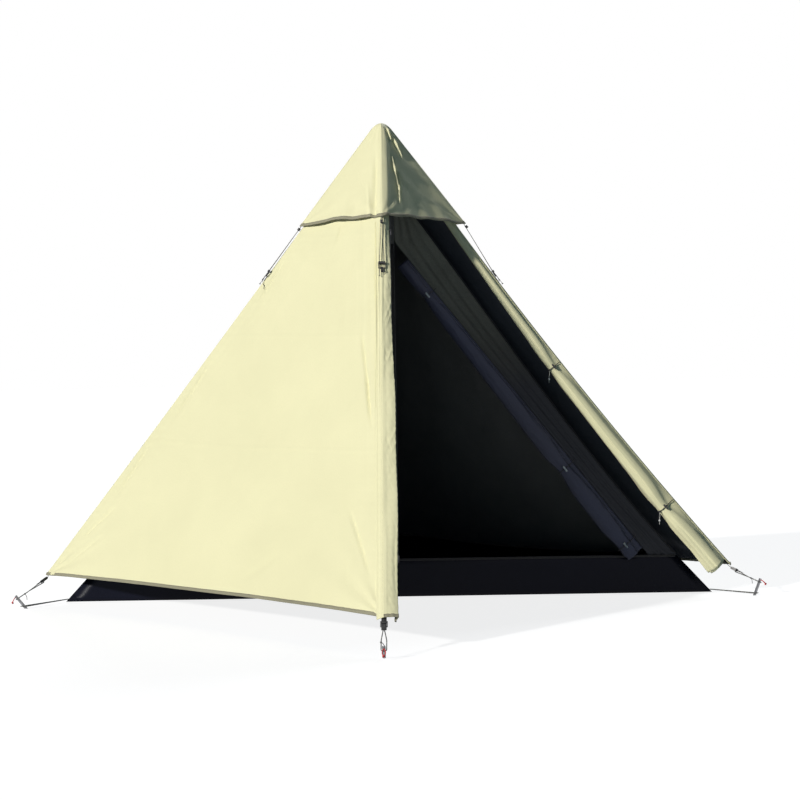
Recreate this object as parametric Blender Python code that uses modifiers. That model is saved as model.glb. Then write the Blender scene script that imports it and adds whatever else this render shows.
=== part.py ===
# One-pole pyramid tent: a fly with its door rolled up, a rain hood, a half inner tent,
# a telescopic pole, corner straps with buckles, guy cords and stakes.
# Metres, +Z up. The origin is on the ground under the peak, at the foot of the pole.
# +X runs to the right corner and -Y to the front corner.
import math

import bmesh
import bpy
from mathutils import Matrix, Vector

# Fly, the outer tent
FLY_SIDE = 2.20
FLY_PEAK = 2.165
HEM_HEIGHT = 0.13
HEM_ARCH = 0.024
FLY_BILLOW = 0.014
FLY_FABRIC = 0.0015
RIDGE_SAG = {"front": 0.006, "left": 0.006, "back": 0.008, "right": 0.038}
FLY_TOP_SHARE = 0.03
SEAM_LAP = 0.012
JAMB_LAP = 0.034
JAMB_TOP_WIDTH = 0.040
JAMB_HEM_WIDTH = 0.058
GAP = 0.0003

# Rain hood and the patch under it
HOOD_REACH = 0.233
HOOD_LIFT = 0.018
HOOD_ARCH = 0.026
HOOD_ROUNDING = 0.0556
HOOD_FABRIC = 0.0015
PATCH_REACH = 0.085
PATCH_ROUNDING = 0.045
PATCH_FABRIC = 0.0020

# Rolled fly door
DOOR_ROLL_RADIUS = 0.050
DOOR_ROLL_STAND = 0.006
DOOR_ROLL_TURNS = 3.25
DOOR_ROLL_CORE = 0.22
DOOR_ROLL_PINCH = 0.36
DOOR_TIES = {"upper": 0.53, "lower": 0.845}
TIE_CORD_RADIUS = 0.0018
TOGGLE_RADIUS = 0.0045
TOGGLE_LENGTH = 0.030
TOGGLE_ROUND = 40.0

# Hood cords and their tensioners
HOOD_CORD_RADIUS = 0.0012
TENSIONER_SHARE = 0.345
TENSIONER_WIDTH = 0.032
TENSIONER_RAIL = 0.003
TENSIONER_HEAD_LENGTH = 0.011
TENSIONER_HEAD_HEIGHT = 0.009
TENSIONER_TRAVEL = 0.012
RIDGE_TAB_WIDTH = 0.010
RIDGE_TAB_LENGTH = 0.026
RIDGE_TAB_HEIGHT = 0.010
RIDGE_TAB_WALL = 0.0015

# Corner straps, ladder-lock buckles and guy cords
STRAP_WIDTH = 0.020
STRAP_THICKNESS = 0.0015
STRAP_SEWN_LENGTH = 0.060
STRAP_FREE_LENGTH = 0.072
LOCK_SET = 0.014
LOCK_LENGTH = 0.028
LOCK_RAIL = 0.0032
LOCK_BAR = 0.0030
LOCK_DROP = 0.0068
GUY_RADIUS = 0.0015

# Stakes: distance beyond the hem corner, distance sideways, lean from upright and length
# above ground
STAKES = {
    "front": (0.1244, 0.0, 40.0, 0.062),
    "right": (0.0860, -0.092, 20.0, 0.080),
    "back": (0.1244, 0.0, 30.0, 0.070),
    "left": (0.0580, 0.16, 38.0, 0.074),
}
STAKE_LENGTH = 0.18
STAKE_FIN = 0.0075
STAKE_FIN_THICKNESS = 0.0018
STAKE_POINT = 0.022
STAKE_HEAD_CLEAR = 0.016

# Inner tent
INNER_INSET = 0.0796
INNER_FRONT = 0.052
INNER_PEAK = 1.93
INNER_SAG = 0.055
INNER_BILLOW = 0.020
INNER_FABRIC = 0.0012
INNER_TOP_SHARE = 0.022
TUB_HEIGHT = 0.17
TUB_FABRIC = 0.0020
INNER_DOOR_LEFT = 0.050
INNER_DOOR_TOP = 1.62
INNER_DOOR_FOOT = 1.190
INNER_ROLL_WIDTH = 0.052
INNER_ROLL_DEPTH = 0.026
INNER_ROLL_STAND = 0.004
INNER_ROLL_CLEAR = 0.003
INNER_ROLL_TURNS = 2.25
INNER_ROLL_CORE = 0.25
INNER_ROLL_PINCH = 0.30
INNER_TIES = {"upper": 0.155, "middle": 0.700, "lower": 0.940}
HANGER_WIDTH = 0.020
HANGER_THICKNESS = 0.0015
HANGER_SEWN_AT = 0.030

# Pole
POLE_UPPER_RADIUS = 0.0110
POLE_LOWER_RADIUS = 0.0140
POLE_WALL = 0.0016
POLE_JOINT_HEIGHT = 1.20
POLE_OVERLAP = 0.12
FOOT_RADIUS = 0.0200
FOOT_HEIGHT = 0.042
CLAMP_RADIUS = 0.0185
CLAMP_HEIGHT = 0.040
LEVER_LENGTH = 0.050
LEVER_WIDTH = 0.011

# Zips
ZIP_SLIDER_LENGTH = 0.014
ZIP_SLIDER_WIDTH = 0.009
ZIP_SLIDER_HEIGHT = 0.005
ZIP_PULL_LENGTH = 0.026
ZIP_PULL_WIDTH = 0.006
ZIP_PULL_THICKNESS = 0.0015
ZIP_PIVOT_ALONG = 0.0018
ZIP_PIVOT_RISE = 0.0014
FLY_SLIDER_SHARE = 0.25

TURN = {"front": -90.0, "left": 180.0, "back": 90.0, "right": 0.0}
FACES = {
    "front_left": ("front", "left"),
    "back_left": ("left", "back"),
    "back_right": ("back", "right"),
    "front_right": ("right", "front"),
}
UP = Vector((0.0, 0.0, 1.0))
HALF_DIAGONAL = FLY_SIDE / math.sqrt(2.0)
INNER_RADIUS = HALF_DIAGONAL - INNER_INSET


def clear_scene():
    for item in list(bpy.data.objects):
        bpy.data.objects.remove(item, do_unlink=True)


def new_collection(name):
    found = bpy.data.collections.new(name)
    bpy.context.scene.collection.children.link(found)
    return found


clear_scene()
TENT = new_collection("camping_tent")
CUTTERS = new_collection("cutters")


def material(name, colour, roughness, metallic=0.0):
    made = bpy.data.materials.new(name)
    made.use_nodes = True
    shader = made.node_tree.nodes["Principled BSDF"]
    shader.inputs["Base Color"].default_value = (*colour, 1.0)
    shader.inputs["Roughness"].default_value = roughness
    shader.inputs["Metallic"].default_value = metallic
    return made


CREAM = material("fly_cream", (0.90, 0.86, 0.56), 0.75)
BLACK_CLOTH = material("inner_black", (0.02, 0.022, 0.03), 0.7)
TUB_CLOTH = material("tub_black", (0.025, 0.025, 0.028), 0.45)
WEBBING = material("webbing_black", (0.03, 0.03, 0.03), 0.8)
CORD = material("cord_grey", (0.30, 0.29, 0.25), 0.7)
PLASTIC = material("plastic_black", (0.02, 0.02, 0.02), 0.4)
TOGGLE_GREY = material("toggle_grey", (0.62, 0.62, 0.60), 0.5)
POLE_METAL = material("pole_aluminium", (0.60, 0.61, 0.62), 0.35, 0.9)
STAKE_METAL = material("stake_aluminium", (0.45, 0.45, 0.46), 0.35, 0.9)
RUBBER = material("rubber_black", (0.03, 0.03, 0.03), 0.9)
ZIP_METAL = material("zip_metal", (0.10, 0.10, 0.10), 0.4, 0.6)


def add_object(name, mesh, finish, collection=TENT):
    made = bpy.data.objects.new(name, mesh)
    collection.objects.link(made)
    made.data.materials.clear()
    made.data.materials.append(finish)
    return made


def mesh_from(name, bm):
    mesh = bpy.data.meshes.new(name)
    bm.to_mesh(mesh)
    bm.free()
    return mesh


def smooth(item, degrees=35.0):
    item.data.shade_smooth()
    item.data.set_sharp_from_angle(angle=math.radians(degrees))


# A grid of cloth: across and along are rising lists from 0 to 1, and place gives each point.
def cloth(name, across, along, place, thickness, finish):
    bm = bmesh.new()
    columns = len(across) - 1
    rows = len(along) - 1
    bmesh.ops.create_grid(bm, x_segments=columns, y_segments=rows, size=0.5)
    for vert in bm.verts:
        u = across[round((vert.co.x + 0.5) * columns)]
        v = along[round((vert.co.y + 0.5) * rows)]
        vert.co = place(u, v)
    item = add_object(name, mesh_from(name, bm), finish)
    wall = item.modifiers.new("fabric", "SOLIDIFY")
    wall.thickness = thickness
    wall.offset = -1.0
    wall.use_even_offset = True
    wall.use_quality_normals = True
    smooth(item, 50.0)
    return item


def even(count):
    return [step / count for step in range(count + 1)]


# A tube through points: closed joins its ends, and sides is 6 or 8.
def tube(name, points, radius, finish, closed=False, sides=6):
    curve = bpy.data.curves.new(name, "CURVE")
    curve.dimensions = "3D"
    curve.bevel_depth = radius
    curve.bevel_resolution = 1 if sides == 6 else 2
    curve.use_fill_caps = not closed
    line = curve.splines.new("POLY")
    line.points.add(len(points) - 1)
    for spot, point in zip(line.points, points):
        spot.co = (*point, 1.0)
    line.use_cyclic_u = closed
    return add_object(name, curve, finish)


# A smooth curve through a few chosen points, as count points along it.
def through(points, count):
    ends = [points[0] * 2.0 - points[1], *points, points[-1] * 2.0 - points[-2]]
    out = []
    for step in range(count):
        at = step / (count - 1) * (len(points) - 1)
        leg = min(int(at), len(points) - 2)
        s = at - leg
        before, start, end, after = ends[leg : leg + 4]
        out.append(
            0.5
            * (
                2.0 * start
                + (end - before) * s
                + (2.0 * before - 5.0 * start + 4.0 * end - after) * s * s
                + (3.0 * start - before - 3.0 * end + after) * s**3
            )
        )
    return out


def box_mesh(name, size):
    bm = bmesh.new()
    bmesh.ops.create_cube(bm, size=1.0, matrix=Matrix.Diagonal((*size, 1.0)))
    return mesh_from(name, bm)


def cylinder_mesh(name, radius, depth, sides):
    bm = bmesh.new()
    bmesh.ops.create_cone(
        bm, cap_ends=True, segments=sides, radius1=radius, radius2=radius, depth=depth
    )
    return mesh_from(name, bm)


# A closed turned piece from a profile that runs down its outer side and back up its bore.
def turned(name, profile, sides, finish):
    bm = bmesh.new()
    spots = [bm.verts.new((radius, 0.0, height)) for radius, height in profile]
    for start, end in zip(spots, spots[1:]):
        bm.edges.new((start, end))
    if min(profile[0][0], profile[-1][0]) > 0.0:
        bm.edges.new((spots[-1], spots[0]))
    item = add_object(name, mesh_from(name, bm), finish)
    screw = item.modifiers.new("turn", "SCREW")
    screw.steps = sides
    screw.render_steps = sides
    screw.use_merge_vertices = True
    screw.merge_threshold = 0.0001
    applied(item)
    bm = bmesh.new()
    bm.from_mesh(item.data)
    bmesh.ops.recalc_face_normals(bm, faces=bm.faces[:])
    bm.to_mesh(item.data)
    bm.free()
    return item


def applied(item):
    graph = bpy.context.evaluated_depsgraph_get()
    mesh = bpy.data.meshes.new_from_object(item.evaluated_get(graph))
    item.modifiers.clear()
    item.data = mesh
    return item


def combine(item, other_mesh, place, operation):
    cutter = add_object("cutter", other_mesh, PLASTIC, CUTTERS)
    cutter.matrix_world = place
    cutter.hide_render = True
    cutter.display_type = "WIRE"
    bpy.context.view_layer.update()
    step = item.modifiers.new("cut", "BOOLEAN")
    step.operation = operation
    step.solver = "EXACT"
    step.object = cutter
    applied(item)
    bpy.data.objects.remove(cutter, do_unlink=True)
    return item


def cut(item, other_mesh, place):
    return combine(item, other_mesh, place, "DIFFERENCE")


def join(item, other_mesh, place):
    return combine(item, other_mesh, place, "UNION")


# A matrix whose columns are the three axes, placed at a point.
def frame_at(place, x_axis, y_axis, z_axis):
    turned_axes = Matrix((x_axis, y_axis, z_axis)).transposed().to_4x4()
    return Matrix.Translation(place) @ turned_axes


def outward(corner):
    turn = math.radians(TURN[corner])
    return Vector((round(math.cos(turn), 12), round(math.sin(turn), 12), 0.0))


FLY_DROP = FLY_PEAK - HEM_HEIGHT
RIDGE_LENGTH = math.hypot(HALF_DIAGONAL, FLY_DROP)
RIDGE_SLOPE = FLY_DROP / HALF_DIAGONAL


def ridge(corner, share):
    along = outward(corner)
    chord = Vector((0.0, 0.0, FLY_PEAK)) + (along * HALF_DIAGONAL - UP * FLY_DROP) * share
    inward = (along * -FLY_DROP - UP * HALF_DIAGONAL) / RIDGE_LENGTH
    return chord + inward * (RIDGE_SAG[corner] * 4.0 * share * (1.0 - share))


def ridge_tangent(corner, share):
    return (ridge(corner, share + 0.01) - ridge(corner, share - 0.01)).normalized()


def face_normal(face):
    start, end = FACES[face]
    level = (outward(start) + outward(end)).normalized()
    tilt = math.atan2(FLY_SIDE / 2.0, FLY_DROP)
    return level * math.cos(tilt) + UP * math.sin(tilt)


# The direction in a face that leaves one of its ridges at a right angle.
def off_ridge(face, corner, share):
    start, end = FACES[face]
    other = end if corner == start else start
    tangent = ridge_tangent(corner, share)
    side = ridge(other, share) - ridge(corner, share)
    return (side - tangent * side.dot(tangent)).normalized()


# The angle inside the tent between two neighbouring faces, and what it does to their edges
FACE_ANGLE = math.acos(-(math.sin(math.atan2(FLY_SIDE / 2.0, FLY_DROP)) ** 2))
EDGE_SET = (FLY_FABRIC + GAP) / math.sin(FACE_ANGLE) + GAP


def fly_surface(face, u, share):
    start, end = FACES[face]
    arched = share * (1.0 - HEM_ARCH / RIDGE_LENGTH * 4.0 * u * (1.0 - u) * share**3)
    first = ridge(start, arched)
    last = ridge(end, arched)
    width = (last - first).length
    dip = FLY_BILLOW * width * 16.0 * (u * (1.0 - u)) ** 2
    return first.lerp(last, u) - face_normal(face) * dip


# Slow creases that run down a taut face from its ridges.
def crease(u, share, count, depth):
    return depth * math.sin(count * math.pi * u) ** 2 * math.sin(math.pi * share) ** 2


PANEL_ROWS = [FLY_TOP_SHARE + (1.0 - FLY_TOP_SHARE) * v**0.8 for v in even(12)]


# Heights on the right ridge where both the door's roll and the panel beside it have rows.
def door_rows():
    rows = [0.08, 0.16, 0.26, 0.38, 0.47, 0.66, 0.75, 0.93, 1.0]
    for at in DOOR_TIES.values():
        rows += [at - 0.03, at, at + 0.03]
    return sorted(rows)


DOOR_ROWS = door_rows()


def fly_panel(face):
    start, end = FACES[face]
    columns = 12
    rows = [FLY_TOP_SHARE, *DOOR_ROWS] if end == "right" else PANEL_ROWS
    other = [name for name in FACES if FACES[name][0] == end][0]
    count = columns + 1
    stops = even(count)

    def place(u, share):
        step = round(u * count)
        if step > columns:
            return lap_point(face, other, end, share)
        inner = step / columns
        first_set = EDGE_SET if step == 0 else 0.0
        point = fly_surface(face, inner, share)
        point -= face_normal(face) * crease(inner, share, 3, 0.004)
        if step == 0:
            point += off_ridge(face, start, share) * first_set
        if step == columns:
            point -= off_ridge(face, end, share) * (LAP_RISE / math.sin(FACE_ANGLE))
        return point

    return applied(cloth("fly_panel_" + face, stops, rows, place, FLY_FABRIC, CREAM))


# The lap's outer surface lies one fabric and one gap above the neighbour's face.
LAP_RISE = FLY_FABRIC + GAP


def lap_point(face, other, corner, share):
    side = off_ridge(other, corner, share)
    return ridge(corner, share) + side * SEAM_LAP + face_normal(other) * LAP_RISE


def door_jamb():
    lap_steps = 2
    width_steps = 4
    count = lap_steps + width_steps

    def place(u, share):
        step = round(u * count)
        crest = ridge("front", share)
        left_side = off_ridge("front_left", "front", share)
        right_side = off_ridge("front_right", "front", share)
        narrow = min(1.0, share / 0.12)
        if step > width_steps:
            reach = JAMB_LAP * narrow * (step - width_steps) / lap_steps
            return crest + left_side * reach + face_normal("front_left") * LAP_RISE
        if step == width_steps:
            return crest - right_side * (LAP_RISE / math.sin(FACE_ANGLE))
        width = JAMB_TOP_WIDTH + (JAMB_HEM_WIDTH - JAMB_TOP_WIDTH) * share
        reach = width * narrow * (width_steps - step) / width_steps
        ripple = math.sin(2.2 * math.pi * (1.0 - step / width_steps))
        fold = 0.0025 * ripple * math.sin(math.pi * share) ** 3
        return crest + right_side * reach + face_normal("front_right") * fold

    return applied(cloth("fly_door_jamb", even(count), PANEL_ROWS, place, FLY_FABRIC, CREAM))


# The two axes across the right ridge: into the doorway, and out of the doorway's plane.
def doorway_axes(share):
    side = off_ridge("front_right", "right", share)
    out = ridge_tangent("right", share).cross(side)
    if out.dot(face_normal("front_right")) < 0.0:
        out = -out
    return side, out


def pinch(share, ties, depth, reach):
    least = min(abs(share - at) for at in ties)
    return 1.0 - depth * max(0.0, 1.0 - least / reach)


def door_roll_radius(share):
    return DOOR_ROLL_RADIUS * share**0.7


def door_roll_centre(share):
    radius = door_roll_radius(share)
    return 0.86 * radius + DOOR_ROLL_STAND, -radius


ROLL_TAIL = 0.12
TAIL_STEPS = 4


def roll_tail(share, seam, centre, radii):
    ease = share * share * (3.0 - 2.0 * share)
    rise = seam[1] + (centre[1] + radii[1] - seam[1]) * ease
    return seam[0] + (centre[0] - seam[0]) * share, rise


def roll_stations(turns):
    steps = round(turns * 10)
    tail = [ROLL_TAIL * k / TAIL_STEPS for k in range(TAIL_STEPS)]
    return tail + [ROLL_TAIL + (1.0 - ROLL_TAIL) * k / steps for k in range(steps + 1)]


# A rolled edge in its own section: a tail from the seam, then turns that wind inwards.
def roll_section(s, seam, centre, radii, turns, core):
    if s < ROLL_TAIL:
        return roll_tail(s / ROLL_TAIL, seam, centre, radii)
    progress = (s - ROLL_TAIL) / (1.0 - ROLL_TAIL)
    angle = math.pi / 2.0 - progress * turns * 2.0 * math.pi
    shrink = 1.0 - (1.0 - core) * progress
    across = centre[0] + radii[0] * shrink * math.cos(angle)
    return across, centre[1] + radii[1] * shrink * math.sin(angle)


def fly_door_roll():
    around = roll_stations(DOOR_ROLL_TURNS)

    def place(s, share):
        side, out = doorway_axes(share)
        squeeze = pinch(share, DOOR_TIES.values(), DOOR_ROLL_PINCH, 0.05)
        radius = door_roll_radius(share) * squeeze
        seam = (EDGE_SET, 0.0)
        across, rise = roll_section(
            s, seam, door_roll_centre(share), (radius, radius), DOOR_ROLL_TURNS, DOOR_ROLL_CORE
        )
        return ridge("right", share) + side * across + out * rise

    return cloth("fly_door_roll", around, DOOR_ROWS, place, FLY_FABRIC, CREAM)


# A tie cord: it follows the roll's tail from the seam, then goes round the roll.
def tie_path(seam, centre, radii, start):
    clear = TIE_CORD_RADIUS + 2.0 * GAP
    tail = [roll_tail(k / TAIL_STEPS, seam, centre, radii) for k in range(TAIL_STEPS + 1)]
    line = [start, *tail, (centre[0] + radii[0] * 0.4, tail[-1][1])]
    spots = [(start[0], start[1] + clear)]
    for before, here, after in zip(line, tail[:-1], line[2:]):
        first = Vector((here[0] - before[0], here[1] - before[1])).normalized()
        last = Vector((after[0] - here[0], after[1] - here[1])).normalized()
        mitre = Vector((-first.y - last.y, first.x + last.x)).normalized()
        reach = clear / max(0.5, mitre.dot(Vector((-last.y, last.x))))
        spots.append((here[0] + mitre.x * reach, here[1] + mitre.y * reach))
    steps = 14
    grow = 1.0 / math.cos(math.radians(255.0) / steps / 2.0)
    for step in range(steps + 1):
        angle = math.pi / 2.0 - step / steps * math.radians(255.0)
        across = centre[0] + (radii[0] + clear) * grow * math.cos(angle)
        spots.append((across, centre[1] + (radii[1] + clear) * grow * math.sin(angle)))
    return spots


def fly_ties():
    for name, share in DOOR_TIES.items():
        side, out = doorway_axes(share)
        radius = door_roll_radius(share) * (1.0 - DOOR_ROLL_PINCH)
        centre = door_roll_centre(share)
        flat = tie_path((EDGE_SET, 0.0), centre, (radius, radius), (0.0, 0.0))
        flat = [spot for spot in flat if spot[0] > SEAM_LAP + 0.002]
        base = ridge("right", share)
        points = [base + side * f + out * n for f, n in flat]
        tube("fly_tieback_" + name, points, TIE_CORD_RADIUS, WEBBING)
        height = radius + 2.0 * TIE_CORD_RADIUS + TOGGLE_RADIUS + 2.0 * GAP
        turn = math.radians(TOGGLE_ROUND)
        away = side * math.sin(turn) + out * math.cos(turn)
        place = base + side * centre[0] + out * centre[1] + away * height
        toggle("fly_toggle_" + name, place, ridge_tangent("right", share), away, TOGGLE_GREY)


# A toggle is a waisted bar with round ends. It turns about the axis that leaves its roll.
def toggle(name, place, along, out, finish):
    half = TOGGLE_LENGTH / 2.0
    thick = TOGGLE_RADIUS
    profile = [
        (0.0, half),
        (thick * 0.7, half - thick * 0.3),
        (thick, half - thick),
        (thick * 0.8, 0.0),
        (thick, thick - half),
        (thick * 0.7, thick * 0.3 - half),
        (0.0, -half),
    ]
    item = turned(name, profile, 10, finish)
    item.matrix_world = frame_at(place, out.cross(along), out, along)
    smooth(item)
    return item


# How far a cap has run from its virtual point: straight sides that meet in a rounded top.
def cap_fall(reach, rounding):
    if reach >= rounding:
        return reach
    return (rounding + reach * reach / rounding) / 2.0


# A four-sided cap around the axis: rings step down from its rounded top to its hem.
def square_cap(name, rings, per_side, peak, slope, rounding, arch, thickness, finish):
    sides = per_side * 4
    bm = bmesh.new()
    spots = [bm.verts.new((reach, 0.0, 0.0)) for reach in rings]
    for start, end in zip(spots, spots[1:]):
        bm.edges.new((start, end))
    bmesh.ops.spin(
        bm, geom=bm.verts[:] + bm.edges[:], axis=UP, cent=(0, 0, 0), steps=sides, angle=math.tau
    )
    bmesh.ops.remove_doubles(bm, verts=bm.verts[:], dist=0.00005)
    last = rings[-1]
    for vert in bm.verts:
        reach = vert.co.length
        turn = math.atan2(vert.co.y, vert.co.x)
        spread = abs(math.cos(turn)) + abs(math.sin(turn))
        mid = math.sin(2.0 * turn) ** 2
        lift = arch * mid * (reach / last) ** 3
        drop = slope * cap_fall(reach, rounding)
        vert.co = Vector((vert.co.x / spread, vert.co.y / spread, peak - drop + lift))
    bmesh.ops.recalc_face_normals(bm, faces=bm.faces[:])
    item = add_object(name, mesh_from(name, bm), finish)
    if item.data.polygons[0].normal.z < 0.0:
        item.data.flip_normals()
    wall = item.modifiers.new("fabric", "SOLIDIFY")
    wall.thickness = thickness
    wall.offset = -1.0
    wall.use_even_offset = True
    wall.use_quality_normals = True
    smooth(item, 40.0)
    return item


def rain_hood():
    reach = HOOD_REACH * HALF_DIAGONAL
    rings = [0.0, 0.011, 0.022, 0.036, HOOD_ROUNDING, reach * 0.38, reach * 0.7, reach]
    peak = FLY_PEAK + HOOD_LIFT
    square_cap(
        "rain_hood", rings, 8, peak, RIDGE_SLOPE, HOOD_ROUNDING, HOOD_ARCH, HOOD_FABRIC, CREAM
    )


FACE_STEEP = math.hypot(1.0, RIDGE_SLOPE * math.sqrt(2.0))
PATCH_PEAK = FLY_PEAK + (PATCH_FABRIC + LAP_RISE + 2.0 * GAP) * FACE_STEEP
PATCH_TOP = PATCH_PEAK - RIDGE_SLOPE * PATCH_ROUNDING / 2.0 - PATCH_FABRIC


def peak_patch():
    reach = PATCH_REACH * HALF_DIAGONAL
    rings = [0.0, POLE_UPPER_RADIUS, 0.022, 0.034, PATCH_ROUNDING, reach]
    square_cap(
        "peak_patch", rings, 4, PATCH_PEAK, RIDGE_SLOPE, PATCH_ROUNDING, 0.0, PATCH_FABRIC, WEBBING
    )


# Local axes on a ridge: across it, down along it, and square to it outwards.
def ridge_axes(corner, share):
    down = ridge_tangent(corner, share)
    across = down.cross(outward(corner)).normalized()
    rise = across.cross(down)
    if rise.z < 0.0:
        across, rise = -across, -rise
    return across, down, rise


TENSIONER_BAR_AT = -RIDGE_TAB_LENGTH / 2.0 + RIDGE_TAB_WALL + TENSIONER_RAIL / 2.0 + 3.0 * GAP
TAB_BASE = 0.0
BAR_HEIGHT = TAB_BASE + RIDGE_TAB_HEIGHT / 2.0
STRAND_SIDE = TENSIONER_WIDTH / 2.0 - TENSIONER_RAIL - 0.0035
STRAND_HEIGHT = BAR_HEIGHT + TENSIONER_RAIL / 2.0 + HOOD_CORD_RADIUS + 0.0010


# The webbing tab stands on the ridge as a flat loop with a slot through it.
def ridge_tab_mesh():
    bm = bmesh.new()
    steps = 4
    outline = []
    radius = RIDGE_TAB_HEIGHT / 2.0
    half = RIDGE_TAB_LENGTH / 2.0 - radius
    for end in (1.0, -1.0):
        for step in range(steps + 1):
            angle = -math.pi / 2.0 + step * math.pi / steps
            outline.append((end * (half + radius * math.cos(angle)), end * radius * math.sin(angle)))
    outer = [bm.verts.new((-RIDGE_TAB_WIDTH / 2.0, y, z)) for y, z in outline]
    shrink = (radius - RIDGE_TAB_WALL) / radius
    inner = []
    for y, z in outline:
        end = math.copysign(half, y)
        inner.append(bm.verts.new((-RIDGE_TAB_WIDTH / 2.0, end + (y - end) * shrink, z * shrink)))
    count = len(outline)
    for k in range(count):
        after = (k + 1) % count
        bm.faces.new((outer[k], outer[after], inner[after], inner[k]))
    moved = bmesh.ops.extrude_face_region(bm, geom=bm.faces[:])["geom"]
    lifted = [item for item in moved if isinstance(item, bmesh.types.BMVert)]
    bmesh.ops.translate(bm, verts=lifted, vec=(RIDGE_TAB_WIDTH, 0.0, 0.0))
    bmesh.ops.recalc_face_normals(bm, faces=bm.faces[:])
    return mesh_from("ridge_tab", bm)


def ridge_tab(panel, corner):
    across, down, rise = ridge_axes(corner, TENSIONER_SHARE)
    place = ridge(corner, TENSIONER_SHARE) + rise * (TAB_BASE + RIDGE_TAB_HEIGHT / 2.0)
    join(panel, ridge_tab_mesh(), frame_at(place, across, down, rise))


def hood_tensioner(corner):
    across, down, rise = ridge_axes(corner, TENSIONER_SHARE)
    place = ridge(corner, TENSIONER_SHARE)
    head_low = -RIDGE_TAB_LENGTH / 2.0 - TENSIONER_TRAVEL - 0.004
    head_high = head_low - TENSIONER_HEAD_LENGTH
    bar_end = TENSIONER_BAR_AT + TENSIONER_RAIL / 2.0
    length = bar_end - head_high
    item = add_object(
        "hood_tensioner_" + corner, box_mesh("frame", (TENSIONER_WIDTH, length, TENSIONER_RAIL)), PLASTIC
    )
    middle = (bar_end + head_high) / 2.0
    window = (
        TENSIONER_WIDTH - 2.0 * TENSIONER_RAIL,
        bar_end - TENSIONER_RAIL - head_low,
        4.0 * TENSIONER_RAIL,
    )
    window_at = (bar_end - TENSIONER_RAIL + head_low) / 2.0 - middle
    cut(item, box_mesh("window", window), Matrix.Translation((0.0, window_at, 0.0)))
    head = box_mesh("head", (TENSIONER_WIDTH * 0.88, TENSIONER_HEAD_LENGTH - 0.001, TENSIONER_HEAD_HEIGHT))
    head_at = (head_low + head_high) / 2.0 - middle
    head_rise = TENSIONER_HEAD_HEIGHT / 2.0 - TENSIONER_RAIL / 2.0 + 0.0004
    join(item, head, Matrix.Translation((0.0, head_at, head_rise)))
    bore = cylinder_mesh("bore", HOOD_CORD_RADIUS + 0.0004, 0.03, 8)
    for sign in (-1.0, 1.0):
        spot = Matrix.Translation((sign * STRAND_SIDE, head_at, STRAND_HEIGHT - BAR_HEIGHT))
        cut(item, bore.copy(), spot @ Matrix.Rotation(math.pi / 2.0, 4, "X"))
    item.matrix_world = frame_at(place + down * middle + rise * BAR_HEIGHT, across, down, rise)
    return item


# A double cord: from the hood's corner straight down to the tensioner and through its head.
def hood_cord(corner):
    across, down, rise = ridge_axes(corner, TENSIONER_SHARE)
    place = ridge(corner, TENSIONER_SHARE)
    chord = (outward(corner) * HALF_DIAGONAL - UP * FLY_DROP).normalized()
    square = across.cross(chord)
    tilt = FACE_ANGLE / 2.0
    strand = HOOD_CORD_RADIUS * 1.5
    depth = (HOOD_FABRIC + HOOD_CORD_RADIUS + GAP) / math.sin(tilt) + strand / math.tan(tilt)
    top = UP * (FLY_PEAK + HOOD_LIFT) + chord * (RIDGE_LENGTH * HOOD_REACH) - square * depth

    def spot(side, along):
        return place + across * side + down * along + rise * STRAND_HEIGHT

    def tip(side, along):
        return top + across * side + chord * along

    points = [
        spot(STRAND_SIDE, 0.034),
        spot(STRAND_SIDE, -0.050),
        tip(strand, 0.002),
        tip(strand, -0.010),
        tip(0.0, -0.0125),
        tip(-strand, -0.010),
        tip(-strand, 0.002),
        spot(-STRAND_SIDE, -0.050),
        spot(-STRAND_SIDE, 0.010),
    ]
    tube("hood_cord_" + corner, points, HOOD_CORD_RADIUS, CORD)


# Where a stake enters the ground, its axis, and the height of the guy loop on it.
def stake_axes(corner):
    beyond, side, lean, proud = STAKES[corner]
    away = outward(corner)
    aside = UP.cross(away)
    base = away * (HALF_DIAGONAL + beyond) + aside * side
    tilt = math.radians(lean)
    axis = (base.normalized() * math.sin(tilt) + UP * math.cos(tilt)).normalized()
    return base, axis, proud


def hook_point(corner):
    base, axis, proud = stake_axes(corner)
    return base + axis * (proud - STAKE_HEAD_CLEAR)


# The strap leaves the inside of the hem corner and runs straight to the stake.
STRAP_DEPTH = (
    FLY_FABRIC + 4.0 * GAP + STRAP_WIDTH / 2.0 * math.cos(FACE_ANGLE / 2.0)
) / math.sin(FACE_ANGLE / 2.0)


def guy_frame(corner):
    across, down, rise = ridge_axes(corner, 0.985)
    start = ridge(corner, 1.0) - rise * (STRAP_DEPTH + STRAP_THICKNESS / 2.0)
    pull = (hook_point(corner) + rise * LOCK_DROP - start).normalized()
    side = (across - pull * across.dot(pull)).normalized()
    return start, pull, side, side.cross(pull)


def corner_strap(corner):
    across, down, rise = ridge_axes(corner, 0.985)
    start, pull, side, lift = guy_frame(corner)
    inside = start - down * STRAP_SEWN_LENGTH
    bend = start - down * 0.006
    out = start + pull * STRAP_FREE_LENGTH
    stations = [inside, bend, start + pull * 0.006, out]
    sides = [across, across, side, side]
    ups = [rise, rise, lift, lift]
    if lift.z < 0.0:
        ups = [rise, rise, -lift, -lift]

    def place(u, v):
        k = round(v * 3)
        return stations[k] + sides[k] * (u - 0.5) * STRAP_WIDTH + ups[k] * STRAP_THICKNESS / 2.0

    item = cloth("corner_strap_" + corner, [0.0, 1.0], even(3), place, STRAP_THICKNESS, WEBBING)
    return item


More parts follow.
